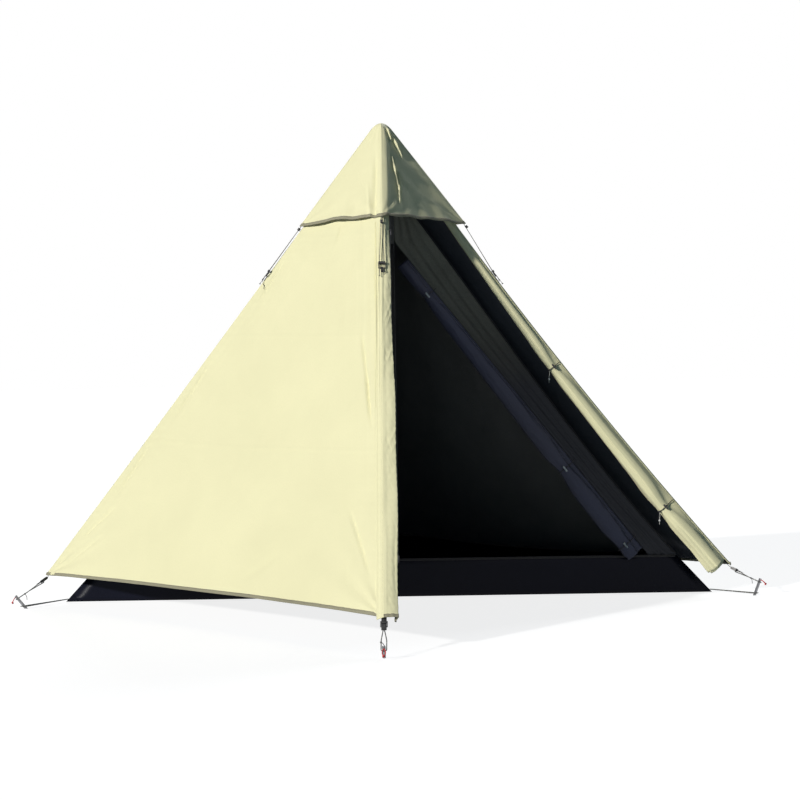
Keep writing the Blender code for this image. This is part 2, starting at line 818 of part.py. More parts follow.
# A ladder-lock buckle: side rails joined by bars that the strap weaves between.
def ladder_lock(corner):
    start, pull, side, lift = guy_frame(corner)
    if lift.z < 0.0:
        side, lift = -side, -lift
    width = STRAP_WIDTH + 2.0 * (LOCK_RAIL + 0.0006)
    slot = STRAP_THICKNESS / 2.0 + GAP
    top = slot + LOCK_BAR
    bottom = -LOCK_DROP - LOCK_BAR / 2.0
    middle = (top + bottom) / 2.0
    item = add_object(
        "ladder_lock_" + corner, box_mesh("lock", (width, LOCK_LENGTH, top - bottom)), PLASTIC
    )
    inner = width - 2.0 * LOCK_RAIL
    half = LOCK_LENGTH / 2.0
    bar_1 = (-half, -half + 0.004)
    bar_2 = (-0.005, 0.003)
    bar_3 = (half - LOCK_BAR, half)

    def remove(low_y, high_y, low_z, high_z):
        size = (inner, high_y - low_y, high_z - low_z)
        spot = Matrix.Translation((0.0, (low_y + high_y) / 2.0, (low_z + high_z) / 2.0 - middle))
        cut(item, box_mesh("space", size), spot)

    over = 0.002
    remove(-half - over, half + over, -slot, slot)
    remove(-half - over, bar_2[0], slot - GAP, top + over)
    remove(bar_2[1], half + over, slot - GAP, top + over)
    remove(bar_1[1], bar_3[0], bottom - over, -slot + GAP)
    remove(-half - over, bar_1[1] + 0.0001, bottom - over, -slot - LOCK_BAR)
    remove(bar_3[0] - 0.0001, half + over, -LOCK_DROP + LOCK_BAR / 2.0, -slot + GAP)
    tip = box_mesh("tip", (width + 0.01, 0.010, 0.010))
    for sign in (-1.0, 1.0):
        corner_place = Matrix.Translation((0.0, -half, sign * ((top - bottom) / 2.0 + 0.0022)))
        cut(item, tip.copy(), corner_place @ Matrix.Rotation(sign * math.radians(28.0), 4, "X"))
    centre = start + pull * (LOCK_SET + half)
    item.matrix_world = frame_at(centre + lift * middle, pull.cross(lift), pull, lift)
    return item


def guy_cord(corner):
    start, pull, side, lift = guy_frame(corner)
    if lift.z < 0.0:
        side, lift = -side, -lift
    hook = hook_point(corner)
    base, axis, proud = stake_axes(corner)
    bar = start + pull * (LOCK_SET + LOCK_LENGTH - LOCK_BAR / 2.0) - lift * LOCK_DROP
    wrap = LOCK_BAR * 0.71 + GAP + GUY_RADIUS
    loop = STAKE_FIN + 0.0006 + GUY_RADIUS
    line = hook - bar
    reach = line.length
    along = line.normalized()
    beside = (side - along * side.dot(along)).normalized()
    over = beside.cross(along)
    points = []
    for step in range(5):
        angle = math.pi / 2.0 + step / 4.0 * math.pi
        points.append(bar + along * (wrap * math.cos(angle)) + over * (wrap * math.sin(angle)))
    straight = (0.30, 0.62, 0.80)
    for share in straight:
        width = loop * min(1.0, share / 0.6)
        depth = wrap * max(0.0, 1.0 - share / 0.6)
        points.append(bar + along * (reach * share) - beside * width - over * depth)
    for step in range(7):
        angle = -math.pi / 2.0 + step / 6.0 * math.pi
        points.append(hook + along * (loop * math.cos(angle)) + beside * (loop * math.sin(angle)))
    for share in reversed(straight):
        width = loop * min(1.0, share / 0.6)
        depth = wrap * max(0.0, 1.0 - share / 0.6)
        points.append(bar + along * (reach * share) + beside * width + over * depth)
    tube("guy_cord_" + corner, points, GUY_RADIUS, CORD, closed=True)


# A stake with three fins, a pointed end, a cord notch and a hole for its pull loop.
def stake(corner):
    base, axis, proud = stake_axes(corner)
    bm = bmesh.new()
    bmesh.ops.create_cone(
        bm, cap_ends=True, segments=12, radius1=STAKE_FIN, radius2=STAKE_FIN, depth=STAKE_LENGTH
    )
    root = STAKE_FIN_THICKNESS * 0.75
    for vert in bm.verts:
        turn = math.atan2(vert.co.y, vert.co.x)
        fin = round(turn / (math.tau / 3.0)) * math.tau / 3.0
        off = round((turn - fin) / (math.tau / 12.0))
        if abs(off) >= 2:
            middle = fin + math.copysign(math.pi / 3.0, off)
            spot = Vector((math.cos(middle), math.sin(middle))) * root * 1.15
        else:
            span = STAKE_FIN_THICKNESS * 0.5 * off
            tip = STAKE_FIN - (0.0006 if off else 0.0)
            spot = Vector((math.cos(fin), math.sin(fin))) * tip
            spot += Vector((-math.sin(fin), math.cos(fin))) * span
        vert.co.x = spot.x
        vert.co.y = spot.y
    mesh = mesh_from("stake", bm)
    item = add_object("stake_" + corner, mesh, STAKE_METAL)
    top = STAKE_LENGTH / 2.0
    slope = math.atan2(STAKE_FIN, STAKE_POINT)
    wedge = box_mesh("wedge", (0.03, 0.03, 0.08))
    for turn in (0.0, math.tau / 3.0, -math.tau / 3.0):
        spin = Matrix.Rotation(turn, 4, "Z")
        tip = Matrix.Translation((0.0007, 0.0, -top)) @ Matrix.Rotation(slope, 4, "Y")
        cut(item, wedge.copy(), spin @ tip @ Matrix.Translation((0.015, 0.0, 0.0)))
    notch = cylinder_mesh("notch", GUY_RADIUS + 0.0006, 0.02, 8)
    spot = Matrix.Translation((STAKE_FIN, 0.0, top - STAKE_HEAD_CLEAR))
    cut(item, notch, spot @ Matrix.Rotation(math.pi / 2.0, 4, "X"))
    hole = cylinder_mesh("hole", 0.0016, 0.02, 8)
    spot = Matrix.Translation((STAKE_FIN * 0.58, 0.0, top - 0.006))
    cut(item, hole, spot @ Matrix.Rotation(math.pi / 2.0, 4, "X"))
    centre = base + axis * (proud - top)
    aside = UP.cross(base).normalized()
    item.matrix_world = frame_at(centre, aside.cross(axis), aside, axis)
    return item


# The inner tent's three edges run from its peak to the corners of its floor.
INNER_CORNERS = {
    "left": Vector((-INNER_RADIUS, INNER_FRONT, 0.0)),
    "right": Vector((INNER_RADIUS, INNER_FRONT, 0.0)),
    "back": Vector((0.0, INNER_RADIUS, 0.0)),
}
INNER_TOP = Vector((0.0, INNER_FRONT, INNER_PEAK))
TUB_SHARE = 1.0 - TUB_HEIGHT / INNER_PEAK


def inner_edge(corner, share):
    foot = INNER_CORNERS[corner]
    chord = INNER_TOP.lerp(foot, share)
    level = (INNER_TOP - foot) * 1.0
    level.z = 0.0
    return chord + level.normalized() * (INNER_SAG * 6.75 * share * share * (1.0 - share))


def inner_wall_normal(first, second):
    side = inner_edge(second, 0.5) - inner_edge(first, 0.5)
    down = (inner_edge(first, 0.9) + inner_edge(second, 0.9)) / 2.0 - INNER_TOP
    return side.cross(down).normalized()


# How far a wall's edge stays off the edge line, so that it clears the wall it is sewn to.
def edge_set(first_normal, second_normal, thickness):
    inside = math.pi - first_normal.angle(second_normal)
    return (thickness * math.cos(inside / 2.0) + GAP * 0.6) / math.sin(inside / 2.0)


WALL_NORMALS = {
    "back_left": inner_wall_normal("left", "back"),
    "back_right": inner_wall_normal("back", "right"),
    "front": Vector((0.0, -1.0, 0.0)),
}
SIDE_SET = edge_set(WALL_NORMALS["back_left"], WALL_NORMALS["front"], INNER_FABRIC) + 0.0006
BACK_SET = edge_set(WALL_NORMALS["back_left"], WALL_NORMALS["back_right"], INNER_FABRIC) + 0.0006


def inner_rows(count):
    low = TUB_SHARE - GAP / INNER_PEAK
    return [INNER_TOP_SHARE + (low - INNER_TOP_SHARE) * v for v in even(count)]


def inner_back_wall(name, first, second):
    normal = WALL_NORMALS[name]
    sets = {"left": SIDE_SET, "right": SIDE_SET, "back": BACK_SET}

    def place(u, share):
        start = inner_edge(first, share)
        end = inner_edge(second, share)
        side = (end - start).normalized()
        width = (end - start).length
        sag = INNER_BILLOW * width * 16.0 * (u * (1.0 - u)) ** 2
        sag += crease(u, share, 4, 0.006)
        start = start + side * sets[first] * 1.2
        end = end - side * sets[second] * 1.2
        return start.lerp(end, u) - normal * sag

    cloth("inner_wall_" + name, even(10), inner_rows(10), place, INNER_FABRIC, BLACK_CLOTH)


def inner_door_edge(height):
    if height >= INNER_DOOR_TOP:
        return INNER_DOOR_LEFT
    share = (INNER_DOOR_TOP - height) / (INNER_DOOR_TOP - TUB_HEIGHT)
    return INNER_DOOR_LEFT + (INNER_DOOR_FOOT - INNER_DOOR_LEFT) * share


def inner_front_left():
    def place(u, share):
        edge = inner_edge("left", share)
        inner = min(INNER_DOOR_LEFT, -edge.x + 0.0) - GAP
        left = edge.x + SIDE_SET
        width = inner - left
        sag = 0.012 * width * 16.0 * (u * (1.0 - u)) ** 2
        return Vector((inner + (left - inner) * u, INNER_FRONT + sag, edge.z))

    cloth("inner_wall_front_left", even(8), inner_rows(10), place, INNER_FABRIC, BLACK_CLOTH)


def inner_front_right():
    rows = [share for share in inner_rows(12) if inner_edge("right", share).x > INNER_DOOR_LEFT + 0.012]
    top = rows[0]
    rows = [top + (rows[-1] - top) * v for v in even(12)]

    def place(u, share):
        edge = inner_edge("right", share)
        right = edge.x - SIDE_SET
        left = inner_door_edge(edge.z) + GAP
        fold = 0.004 * math.sin(3.0 * math.pi * u) * math.sin(math.pi * u) ** 2
        return Vector((right + (left - right) * u, INNER_FRONT + fold, edge.z))

    cloth("inner_wall_front_right", even(4), rows, place, INNER_FABRIC, BLACK_CLOTH)


# The inner door's rolled edge lies along the slanting side of its doorway.
ROLL_TOP = Vector((INNER_DOOR_LEFT, INNER_FRONT, INNER_DOOR_TOP))
ROLL_FOOT = Vector((INNER_DOOR_FOOT, INNER_FRONT, TUB_HEIGHT))
ROLL_ALONG = (ROLL_FOOT - ROLL_TOP).normalized()
ROLL_OUT = Vector((0.0, -1.0, 0.0))
ROLL_SIDE = ROLL_OUT.cross(ROLL_ALONG)
if ROLL_SIDE.x > 0.0:
    ROLL_SIDE = -ROLL_SIDE


INNER_ROLL_SEAM = (GAP * 2.0, 0.0)


def inner_roll_radii(share):
    grow = 0.55 + 0.45 * share
    return INNER_ROLL_WIDTH * grow, INNER_ROLL_DEPTH * grow


def inner_roll_centre(share):
    wide, deep = inner_roll_radii(share)
    return wide + INNER_ROLL_STAND, -deep - INNER_ROLL_CLEAR


def inner_door_roll():
    around = roll_stations(INNER_ROLL_TURNS)
    rows = [0.055]
    for at in INNER_TIES.values():
        rows += [at - 0.035, at, at + 0.035]
    rows += [0.30, 0.45, 0.58, 0.80, 0.88]
    rows = sorted(share for share in rows if share <= 0.995)

    def place(s, share):
        squeeze = pinch(share, INNER_TIES.values(), INNER_ROLL_PINCH, 0.06)
        wide, deep = inner_roll_radii(share)
        across, depth = roll_section(
            s,
            INNER_ROLL_SEAM,
            inner_roll_centre(share),
            (wide * squeeze, deep * squeeze),
            INNER_ROLL_TURNS,
            INNER_ROLL_CORE,
        )
        return ROLL_TOP.lerp(ROLL_FOOT, share) + ROLL_SIDE * across - ROLL_OUT * depth

    cloth("inner_door_roll", around, rows, place, INNER_FABRIC, BLACK_CLOTH)


# A tie cord sewn to the wall: it crosses the front of the roll and goes round behind it.
def inner_tie_path(centre, radii):
    clear = TIE_CORD_RADIUS + INNER_FABRIC + 2.0 * GAP
    steps = 15
    grow = 1.0 / math.cos(math.radians(255.0) / steps / 2.0)
    spots = [(-0.012, -TIE_CORD_RADIUS - 2.0 * GAP)]
    for step in range(steps + 1):
        angle = math.radians(200.0 + 255.0 * step / steps)
        across = centre[0] + (radii[0] + clear) * grow * math.cos(angle)
        spots.append((across, centre[1] + (radii[1] + clear) * grow * math.sin(angle)))
    return spots


def inner_ties():
    for name, share in INNER_TIES.items():
        wide, deep = inner_roll_radii(share)
        wide *= 1.0 - INNER_ROLL_PINCH
        deep *= 1.0 - INNER_ROLL_PINCH
        centre = inner_roll_centre(share)
        base = ROLL_TOP.lerp(ROLL_FOOT, share)
        flat = inner_tie_path(centre, (wide, deep))
        points = [base + ROLL_SIDE * across - ROLL_OUT * depth for across, depth in flat]
        tube("inner_tieback_" + name, points, TIE_CORD_RADIUS, WEBBING)
        front = deep - centre[1] + INNER_FABRIC + 2.0 * TIE_CORD_RADIUS + TOGGLE_RADIUS
        place = base + ROLL_SIDE * centre[0] + ROLL_OUT * front
        toggle("inner_toggle_" + name, place, ROLL_ALONG, ROLL_OUT, TOGGLE_GREY)


# A tray of coated cloth: a flat floor with walls that lean in with the inner tent.
def inner_floor():
    per_side = 6
    names = ["left", "right", "back"]
    bm = bmesh.new()
    bmesh.ops.create_circle(bm, cap_ends=True, segments=3 * per_side, radius=1.0)
    bm.verts.ensure_lookup_table()
    ring = list(bm.verts)
    shares = {}
    for k, vert in enumerate(ring):
        first = names[k // per_side]
        second = names[(k // per_side + 1) % 3]
        shares[k] = (first, second, k % per_side / per_side)
        vert.co = INNER_CORNERS[first].lerp(INNER_CORNERS[second], k % per_side / per_side)
    bmesh.ops.recalc_face_normals(bm, faces=bm.faces[:])
    if bm.faces[:][0].normal.z > 0.0:
        bmesh.ops.reverse_faces(bm, faces=bm.faces[:])
    low = list(ring)
    made = bmesh.ops.extrude_edge_only(bm, edges=bm.edges[:])["geom"]
    lifted = [item for item in made if isinstance(item, bmesh.types.BMVert)]
    for vert in lifted:
        k = min(range(len(low)), key=lambda n: (low[n].co - vert.co).length)
        first, second, part = shares[k]
        start = inner_edge(first, TUB_SHARE)
        end = inner_edge(second, TUB_SHARE)
        vert.co = start.lerp(end, part)
        vert.co.z = TUB_HEIGHT - 0.004 * math.sin(math.pi * part) ** 2
    bmesh.ops.recalc_face_normals(bm, faces=bm.faces[:])
    mesh = mesh_from("inner_floor", bm)
    item = add_object("inner_floor", mesh, TUB_CLOTH)
    floor = [face for face in mesh.polygons if abs(face.normal.z) > 0.9][0]
    if floor.normal.z > 0.0:
        mesh.flip_normals()
    wall = item.modifiers.new("fabric", "SOLIDIFY")
    wall.thickness = TUB_FABRIC
    wall.offset = -1.0
    wall.use_even_offset = True
    return item


def hanger():
    reach = HANGER_SEWN_AT + HANGER_WIDTH / 2.0
    under = PATCH_PEAK - RIDGE_SLOPE * cap_fall(reach, PATCH_ROUNDING) - PATCH_FABRIC * FACE_STEEP
    top = Vector((0.0, HANGER_SEWN_AT, under - GAP))
    low = Vector((0.0, INNER_FRONT - GAP, INNER_PEAK - 0.062))
    side = Vector((1.0, 0.0, 0.0))

    def place(u, v):
        point = top.lerp(low, v)
        return point + side * (u - 0.5) * HANGER_WIDTH

    return cloth("inner_hanger", [0.0, 1.0], even(2), place, HANGER_THICKNESS, WEBBING)


# The inner tent's corner cord loops round the stake just above the ground.
def inner_corner_cord(corner):
    base, axis, proud = stake_axes(corner)
    lift = 0.010 / axis.z
    goal = base + axis * lift
    height = 0.012
    start = inner_edge(corner, 1.0).lerp(
        inner_edge(corner, TUB_SHARE), (height - GUY_RADIUS) / TUB_HEIGHT
    )
    start.z = height
    along = (goal - start).normalized()
    beside = UP.cross(along).normalized()
    loop = STAKE_FIN / axis.z + 0.0006 + GUY_RADIUS
    begin = start + along * (2.0 * GAP)
    points = [begin - beside * 0.0018, start.lerp(goal, 0.45) - beside * 0.006]
    for step in range(7):
        angle = -math.pi / 2.0 + step / 6.0 * math.pi
        points.append(goal + along * (loop * math.cos(angle)) + beside * (loop * math.sin(angle)))
    points += [start.lerp(goal, 0.45) + beside * 0.006, begin + beside * 0.0018]
    tube("inner_corner_cord_" + corner, points, GUY_RADIUS, CORD)


POLE_TOP = PATCH_TOP - 0.0008


def pole():
    joint = POLE_JOINT_HEIGHT
    low = joint - POLE_OVERLAP
    bore = POLE_UPPER_RADIUS - POLE_WALL
    round_end = 0.006
    profile = [
        (0.0, POLE_TOP),
        (POLE_UPPER_RADIUS * 0.72, POLE_TOP - round_end * 0.25),
        (POLE_UPPER_RADIUS, POLE_TOP - round_end),
        (POLE_UPPER_RADIUS, low),
        (bore, low),
        (bore, POLE_TOP - 0.03),
        (0.0, POLE_TOP - 0.03),
    ]
    smooth(turned("pole_upper", profile, 16, POLE_METAL))
    bore = POLE_LOWER_RADIUS - POLE_WALL
    profile = [
        (0.0, 0.04),
        (bore, 0.04),
        (bore, joint),
        (POLE_LOWER_RADIUS, joint),
        (POLE_LOWER_RADIUS, 0.006),
        (0.0, 0.006),
    ]
    smooth(turned("pole_lower", profile, 16, POLE_METAL))
    fit = POLE_LOWER_RADIUS + GAP
    profile = [
        (0.0, 0.006 - GAP),
        (fit, 0.006 - GAP),
        (fit, FOOT_HEIGHT),
        (FOOT_RADIUS * 0.86, FOOT_HEIGHT),
        (FOOT_RADIUS, FOOT_HEIGHT * 0.35),
        (FOOT_RADIUS, 0.0),
        (0.0, 0.0),
    ]
    smooth(turned("pole_foot", profile, 16, RUBBER))


# The clamp closes on the upper tube. Its lever turns on a pin between two ears.
EAR_Y = -CLAMP_RADIUS - 0.004
CLAMP_TOP = POLE_JOINT_HEIGHT + 0.012


def pole_clamp():
    fit = POLE_LOWER_RADIUS + GAP
    lip = POLE_UPPER_RADIUS + GAP
    joint = POLE_JOINT_HEIGHT
    low = CLAMP_TOP - CLAMP_HEIGHT
    profile = [
        (lip, CLAMP_TOP),
        (CLAMP_RADIUS, CLAMP_TOP),
        (CLAMP_RADIUS, low),
        (fit, low),
        (fit, joint + GAP),
        (lip, joint + GAP),
    ]
    item = applied(turned("pole_clamp", profile, 16, PLASTIC))
    ear = box_mesh("ear", (0.003, 0.016, 0.014))
    for sign in (-1.0, 1.0):
        spot = (sign * (LEVER_WIDTH / 2.0 + GAP + 0.0015), EAR_Y + 0.001, CLAMP_TOP - 0.012)
        join(item, ear.copy(), Matrix.Translation(spot))
    pin = cylinder_mesh("pin", 0.002, LEVER_WIDTH + 0.005, 10)
    spot = Matrix.Translation((0.0, EAR_Y - 0.002, CLAMP_TOP - 0.012))
    join(item, pin, spot @ Matrix.Rotation(math.pi / 2.0, 4, "Y"))
    return item


LEVER_PIVOT = Vector((0.0, EAR_Y - 0.002, CLAMP_TOP - 0.012))


def clamp_lever():
    bm = bmesh.new()
    outline = [(0.0035, 0.0035), (-0.0035, 0.0035), (-0.0045, -0.006), (-0.0065, -0.9 * LEVER_LENGTH)]
    outline += [(-0.0090, -LEVER_LENGTH), (-0.0065, -LEVER_LENGTH), (-0.0030, -0.88 * LEVER_LENGTH)]
    outline += [(-0.0008, -0.010), (0.0035, -0.0035)]
    spots = [bm.verts.new((-LEVER_WIDTH / 2.0, y, z)) for y, z in outline]
    face = bm.faces.new(spots)
    moved = bmesh.ops.extrude_face_region(bm, geom=[face])["geom"]
    lifted = [item for item in moved if isinstance(item, bmesh.types.BMVert)]
    bmesh.ops.translate(bm, verts=lifted, vec=(LEVER_WIDTH, 0.0, 0.0))
    bmesh.ops.recalc_face_normals(bm, faces=bm.faces[:])
    item = add_object("pole_clamp_lever", mesh_from("lever", bm), PLASTIC)
    bore = cylinder_mesh("bore", 0.002 + GAP, LEVER_WIDTH + 0.01, 10)
    cut(item, bore, Matrix.Rotation(math.pi / 2.0, 4, "Y"))
    item.location = LEVER_PIVOT
    return item


# A zip slider with a bail, and the tab that swings in it.
def zip_slider(name, place, along, out):
    side = along.cross(out)
    size = (ZIP_SLIDER_WIDTH, ZIP_SLIDER_LENGTH, ZIP_SLIDER_HEIGHT)
    item = add_object(name + "_slider", box_mesh("slider", size), ZIP_METAL)
    edge = item.modifiers.new("edges", "BEVEL")
    edge.width = 0.0012
    edge.segments = 1
    applied(item)
    bail = ridge_bail_mesh()
    join(item, bail, Matrix.Translation((0.0, 0.0, ZIP_SLIDER_HEIGHT / 2.0 + 0.0008)))
    item.matrix_world = frame_at(place + out * ZIP_SLIDER_HEIGHT / 2.0, side, along, out)
    return item


# The tab's end bar sits in the slot under the bail, and the tab turns about that bar.
def zip_pull(name, place, along, out):
    side = along.cross(out)
    size = (ZIP_PULL_WIDTH, ZIP_PULL_LENGTH, ZIP_PULL_THICKNESS)
    item = add_object(name + "_pull", box_mesh("pull", size), ZIP_METAL)
    middle = ZIP_PULL_LENGTH / 2.0 - ZIP_PULL_THICKNESS / 2.0
    window = box_mesh("window", (0.0034, 0.005, 0.01))
    cut(item, window, Matrix.Translation((0.0, ZIP_PULL_THICKNESS / 2.0 + 0.0025 - middle, 0.0)))
    for vert in item.data.vertices:
        vert.co.y += middle
    pivot = place + along * ZIP_PIVOT_ALONG + out * (ZIP_SLIDER_HEIGHT + ZIP_PIVOT_RISE)
    item.matrix_world = frame_at(pivot, side, along, out)
    return item


def fly_zip():
    def edge(share):
        side = off_ridge("front_right", "front", share)
        width = JAMB_TOP_WIDTH + (JAMB_HEM_WIDTH - JAMB_TOP_WIDTH) * share
        return ridge("front", share) + side * (width - 0.001)

    start = edge(FLY_SLIDER_SHARE)
    along = (edge(0.95) - start).normalized()
    normal = face_normal("front_right")
    out = (normal - along * normal.dot(along)).normalized()
    place = start + out * (0.0010 + GAP)
    zip_slider("fly_zip", place, along, out)
    zip_pull("fly_zip", place, along, out)


def inner_zip():
    out = Vector((0.0, -1.0, 0.0))
    down = Vector((0.0, 0.0, -1.0))
    place = Vector((INNER_DOOR_LEFT - 0.003, INNER_FRONT - GAP, TUB_HEIGHT + 0.012))
    zip_slider("inner_zip", place, down, out)
    zip_pull("inner_zip", place, down, out)


# A low arch with a slot under it.
def ridge_bail_mesh():
    bm = bmesh.new()
    outline = [(-0.005, -0.0015), (-0.005, 0.002), (-0.003, 0.0035), (0.003, 0.0035)]
    outline += [(0.005, 0.002), (0.005, -0.0015), (0.0034, -0.0015), (0.0034, 0.0012)]
    outline += [(0.0022, 0.0020), (-0.0022, 0.0020), (-0.0034, 0.0012), (-0.0034, -0.0015)]
    spots = [bm.verts.new((-0.0012, y, z)) for y, z in outline]
    face = bm.faces.new(spots)
    moved = bmesh.ops.extrude_face_region(bm, geom=[face])["geom"]
    lifted = [item for item in moved if isinstance(item, bmesh.types.BMVert)]
    bmesh.ops.translate(bm, verts=lifted, vec=(0.0024, 0.0, 0.0))
    bmesh.ops.recalc_face_normals(bm, faces=bm.faces[:])
    return mesh_from("bail", bm)


def build():
    panels = {face: fly_panel(face) for face in ("front_left", "back_left", "back_right")}
    jamb = door_jamb()
    ridge_tab(jamb, "front")
    ridge_tab(panels["front_left"], "left")
    ridge_tab(panels["back_left"], "back")
    ridge_tab(panels["back_right"], "right")
    fly_door_roll()
    fly_ties()
    rain_hood()
    peak_patch()
    for corner in TURN:
        hood_cord(corner)
        hood_tensioner(corner)
        corner_strap(corner)
        ladder_lock(corner)
        guy_cord(corner)
        stake(corner)
    inner_floor()
    inner_back_wall("back_left", "left", "back")
    inner_back_wall("back_right", "back", "right")
    inner_front_left()
    inner_front_right()
    inner_door_roll()
    inner_ties()
    hanger()
    for corner in INNER_CORNERS:
        inner_corner_cord(corner)
    pole()
    pole_clamp()
    clamp_lever()
    fly_zip()
    inner_zip()


build()
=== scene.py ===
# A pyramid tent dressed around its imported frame: fly, rain hood, half inner tent, pole and pegs.
import math

import bmesh
import bpy
import numpy as np
from mathutils import Matrix, Vector


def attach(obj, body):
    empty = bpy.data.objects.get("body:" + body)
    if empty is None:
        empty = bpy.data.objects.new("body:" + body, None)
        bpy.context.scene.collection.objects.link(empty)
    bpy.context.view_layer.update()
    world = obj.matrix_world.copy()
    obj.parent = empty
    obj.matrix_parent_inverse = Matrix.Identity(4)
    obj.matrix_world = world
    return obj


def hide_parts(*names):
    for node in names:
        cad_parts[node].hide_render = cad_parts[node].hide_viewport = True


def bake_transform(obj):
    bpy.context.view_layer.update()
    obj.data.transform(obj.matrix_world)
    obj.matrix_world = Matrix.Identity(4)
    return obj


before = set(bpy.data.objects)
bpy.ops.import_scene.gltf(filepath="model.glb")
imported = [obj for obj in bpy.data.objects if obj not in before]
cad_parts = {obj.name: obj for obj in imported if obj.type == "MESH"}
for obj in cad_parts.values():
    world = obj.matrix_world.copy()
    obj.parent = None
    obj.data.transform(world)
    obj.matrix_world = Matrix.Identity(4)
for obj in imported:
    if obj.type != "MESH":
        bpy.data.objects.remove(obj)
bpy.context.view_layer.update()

print("frame loaded:", len(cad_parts), "nodes")


def unit(v):
    v = np.asarray(v, float)
    return v / np.maximum(np.linalg.norm(v, axis=-1, keepdims=True), 1e-12)


def dot(a, b):
    return (np.asarray(a) * np.asarray(b)).sum(-1)


def mix(a, b, t):
    return a + (b - a) * t


def ease(t):
    t = np.clip(t, 0.0, 1.0)
    return t * t * (3.0 - 2.0 * t)


# Even steps from 0 to 1.
def evenly(count):
    return np.linspace(0.0, 1.0, count)


# Coordinates side by side as points.
def joined(*parts):
    return np.stack(np.broadcast_arrays(*parts), axis=-1).astype(float)


# Smooth repeatable noise from a fixed table, about -1 to 1.
def softNoise(x, y, seed):
    table = np.random.default_rng(seed).uniform(-1.0, 1.0, (67, 67))
    x, y = np.broadcast_arrays(np.asarray(x, float), np.asarray(y, float))
    left, low = np.floor(x).astype(int), np.floor(y).astype(int)
    s, t = ease(x - left), ease(y - low)
    first = mix(table[left % 67, low % 67], table[(left + 1) % 67, low % 67], s)
    last = mix(table[left % 67, (low + 1) % 67], table[(left + 1) % 67, (low + 1) % 67], s)
    return mix(first, last, t)


def bell(x, middle, width):
    return np.exp(-(((np.asarray(x) - middle) / width) ** 2))


# The fly's shape follows the same rules as the solids.

fly = {
    "side": 2.20,
    "peak": 2.165,
    "hemHeight": 0.13,
    "hemArch": 0.024,
    "billow": 0.014,
    "fabric": 0.0015,
    "cloth": 0.0011,
    "topShare": 0.03,
    "seamLap": 0.012,
    "jambLap": 0.034,
    "jambTop": 0.040,
    "jambHem": 0.058,
    "sag": {"front": 0.006, "left": 0.006, "back": 0.008, "right": 0.038},
}
gap = 0.0003  # what is left free between pieces that lie on each other
up = np.array([0.0, 0.0, 1.0])
levelOnly = np.array([1.0, 1.0, 0.0])
toward = {
    "front": np.array([0.0, -1.0, 0.0]),
    "left": np.array([-1.0, 0.0, 0.0]),
    "back": np.array([0.0, 1.0, 0.0]),
    "right": np.array([1.0, 0.0, 0.0]),
}
faceEnds = {
    "front_left": ("front", "left"),
    "back_left": ("left", "back"),
    "back_right": ("back", "right"),
    "front_right": ("right", "front"),
}


# The face that starts at a corner.
def nextFace(corner):
    return next(name for name, ends in faceEnds.items() if ends[0] == corner)


halfDiagonal = fly["side"] / math.sqrt(2.0)
flyDrop = fly["peak"] - fly["hemHeight"]
ridgeLength = math.hypot(halfDiagonal, flyDrop)
ridgeSlope = flyDrop / halfDiagonal
faceTilt = math.atan2(fly["side"] / 2.0, flyDrop)
faceAngle = math.acos(-math.sin(faceTilt) ** 2)
edgeSet = (fly["fabric"] + gap) / math.sin(faceAngle) + gap
lapRise = fly["fabric"] + gap
crestPush = lapRise / math.sin(faceAngle)


# A point on a ridge, from the peak at 0 to the hem at 1, with the ridge's own sag.
def ridgeAt(corner, share):
    share = np.asarray(share, float)[..., None]
    chord = up * fly["peak"] + (toward[corner] * halfDiagonal - up * flyDrop) * share
    inward = (toward[corner] * -flyDrop - up * halfDiagonal) / ridgeLength
    return chord + inward * (fly["sag"][corner] * 4.0 * share * (1.0 - share))


def ridgeDown(corner, share):
    share = np.asarray(share, float)
    return unit(ridgeAt(corner, share + 0.01) - ridgeAt(corner, share - 0.01))


# The direction that a taut face looks in.
def faceOut(face):
    start, end = faceEnds[face]
    level = unit(toward[start] + toward[end])
    return level * math.cos(faceTilt) + up * math.sin(faceTilt)


# Square to a ridge and along one of its faces.
def offRidge(face, corner, share):
    start, end = faceEnds[face]
    other = end if corner == start else start
    down = ridgeDown(corner, share)
    side = ridgeAt(other, share) - ridgeAt(corner, share)
    return unit(side - down * dot(side, down)[..., None])


# Points beside a ridge on one of its faces: how far across they lie, and how far off the face.
def besideRidge(face, corner, share, reach, rise):
    reach, rise = (np.asarray(x)[..., None] for x in (reach, rise))
    return ridgeAt(corner, share) + offRidge(face, corner, share) * reach + faceOut(face) * rise


# A face of the fly: u runs from its first ridge to its second, share from the peak to the hem.
def flySurface(face, u, share):
    start, end = faceEnds[face]
    arched = share * (1.0 - fly["hemArch"] / ridgeLength * 4.0 * u * (1.0 - u) * share**3)
    first, last = ridgeAt(start, arched), ridgeAt(end, arched)
    width = np.linalg.norm(last - first, axis=-1)
    dip = fly["billow"] * width * 16.0 * (u * (1.0 - u)) ** 2
    return mix(first, last, u[..., None]) - faceOut(face) * dip[..., None]


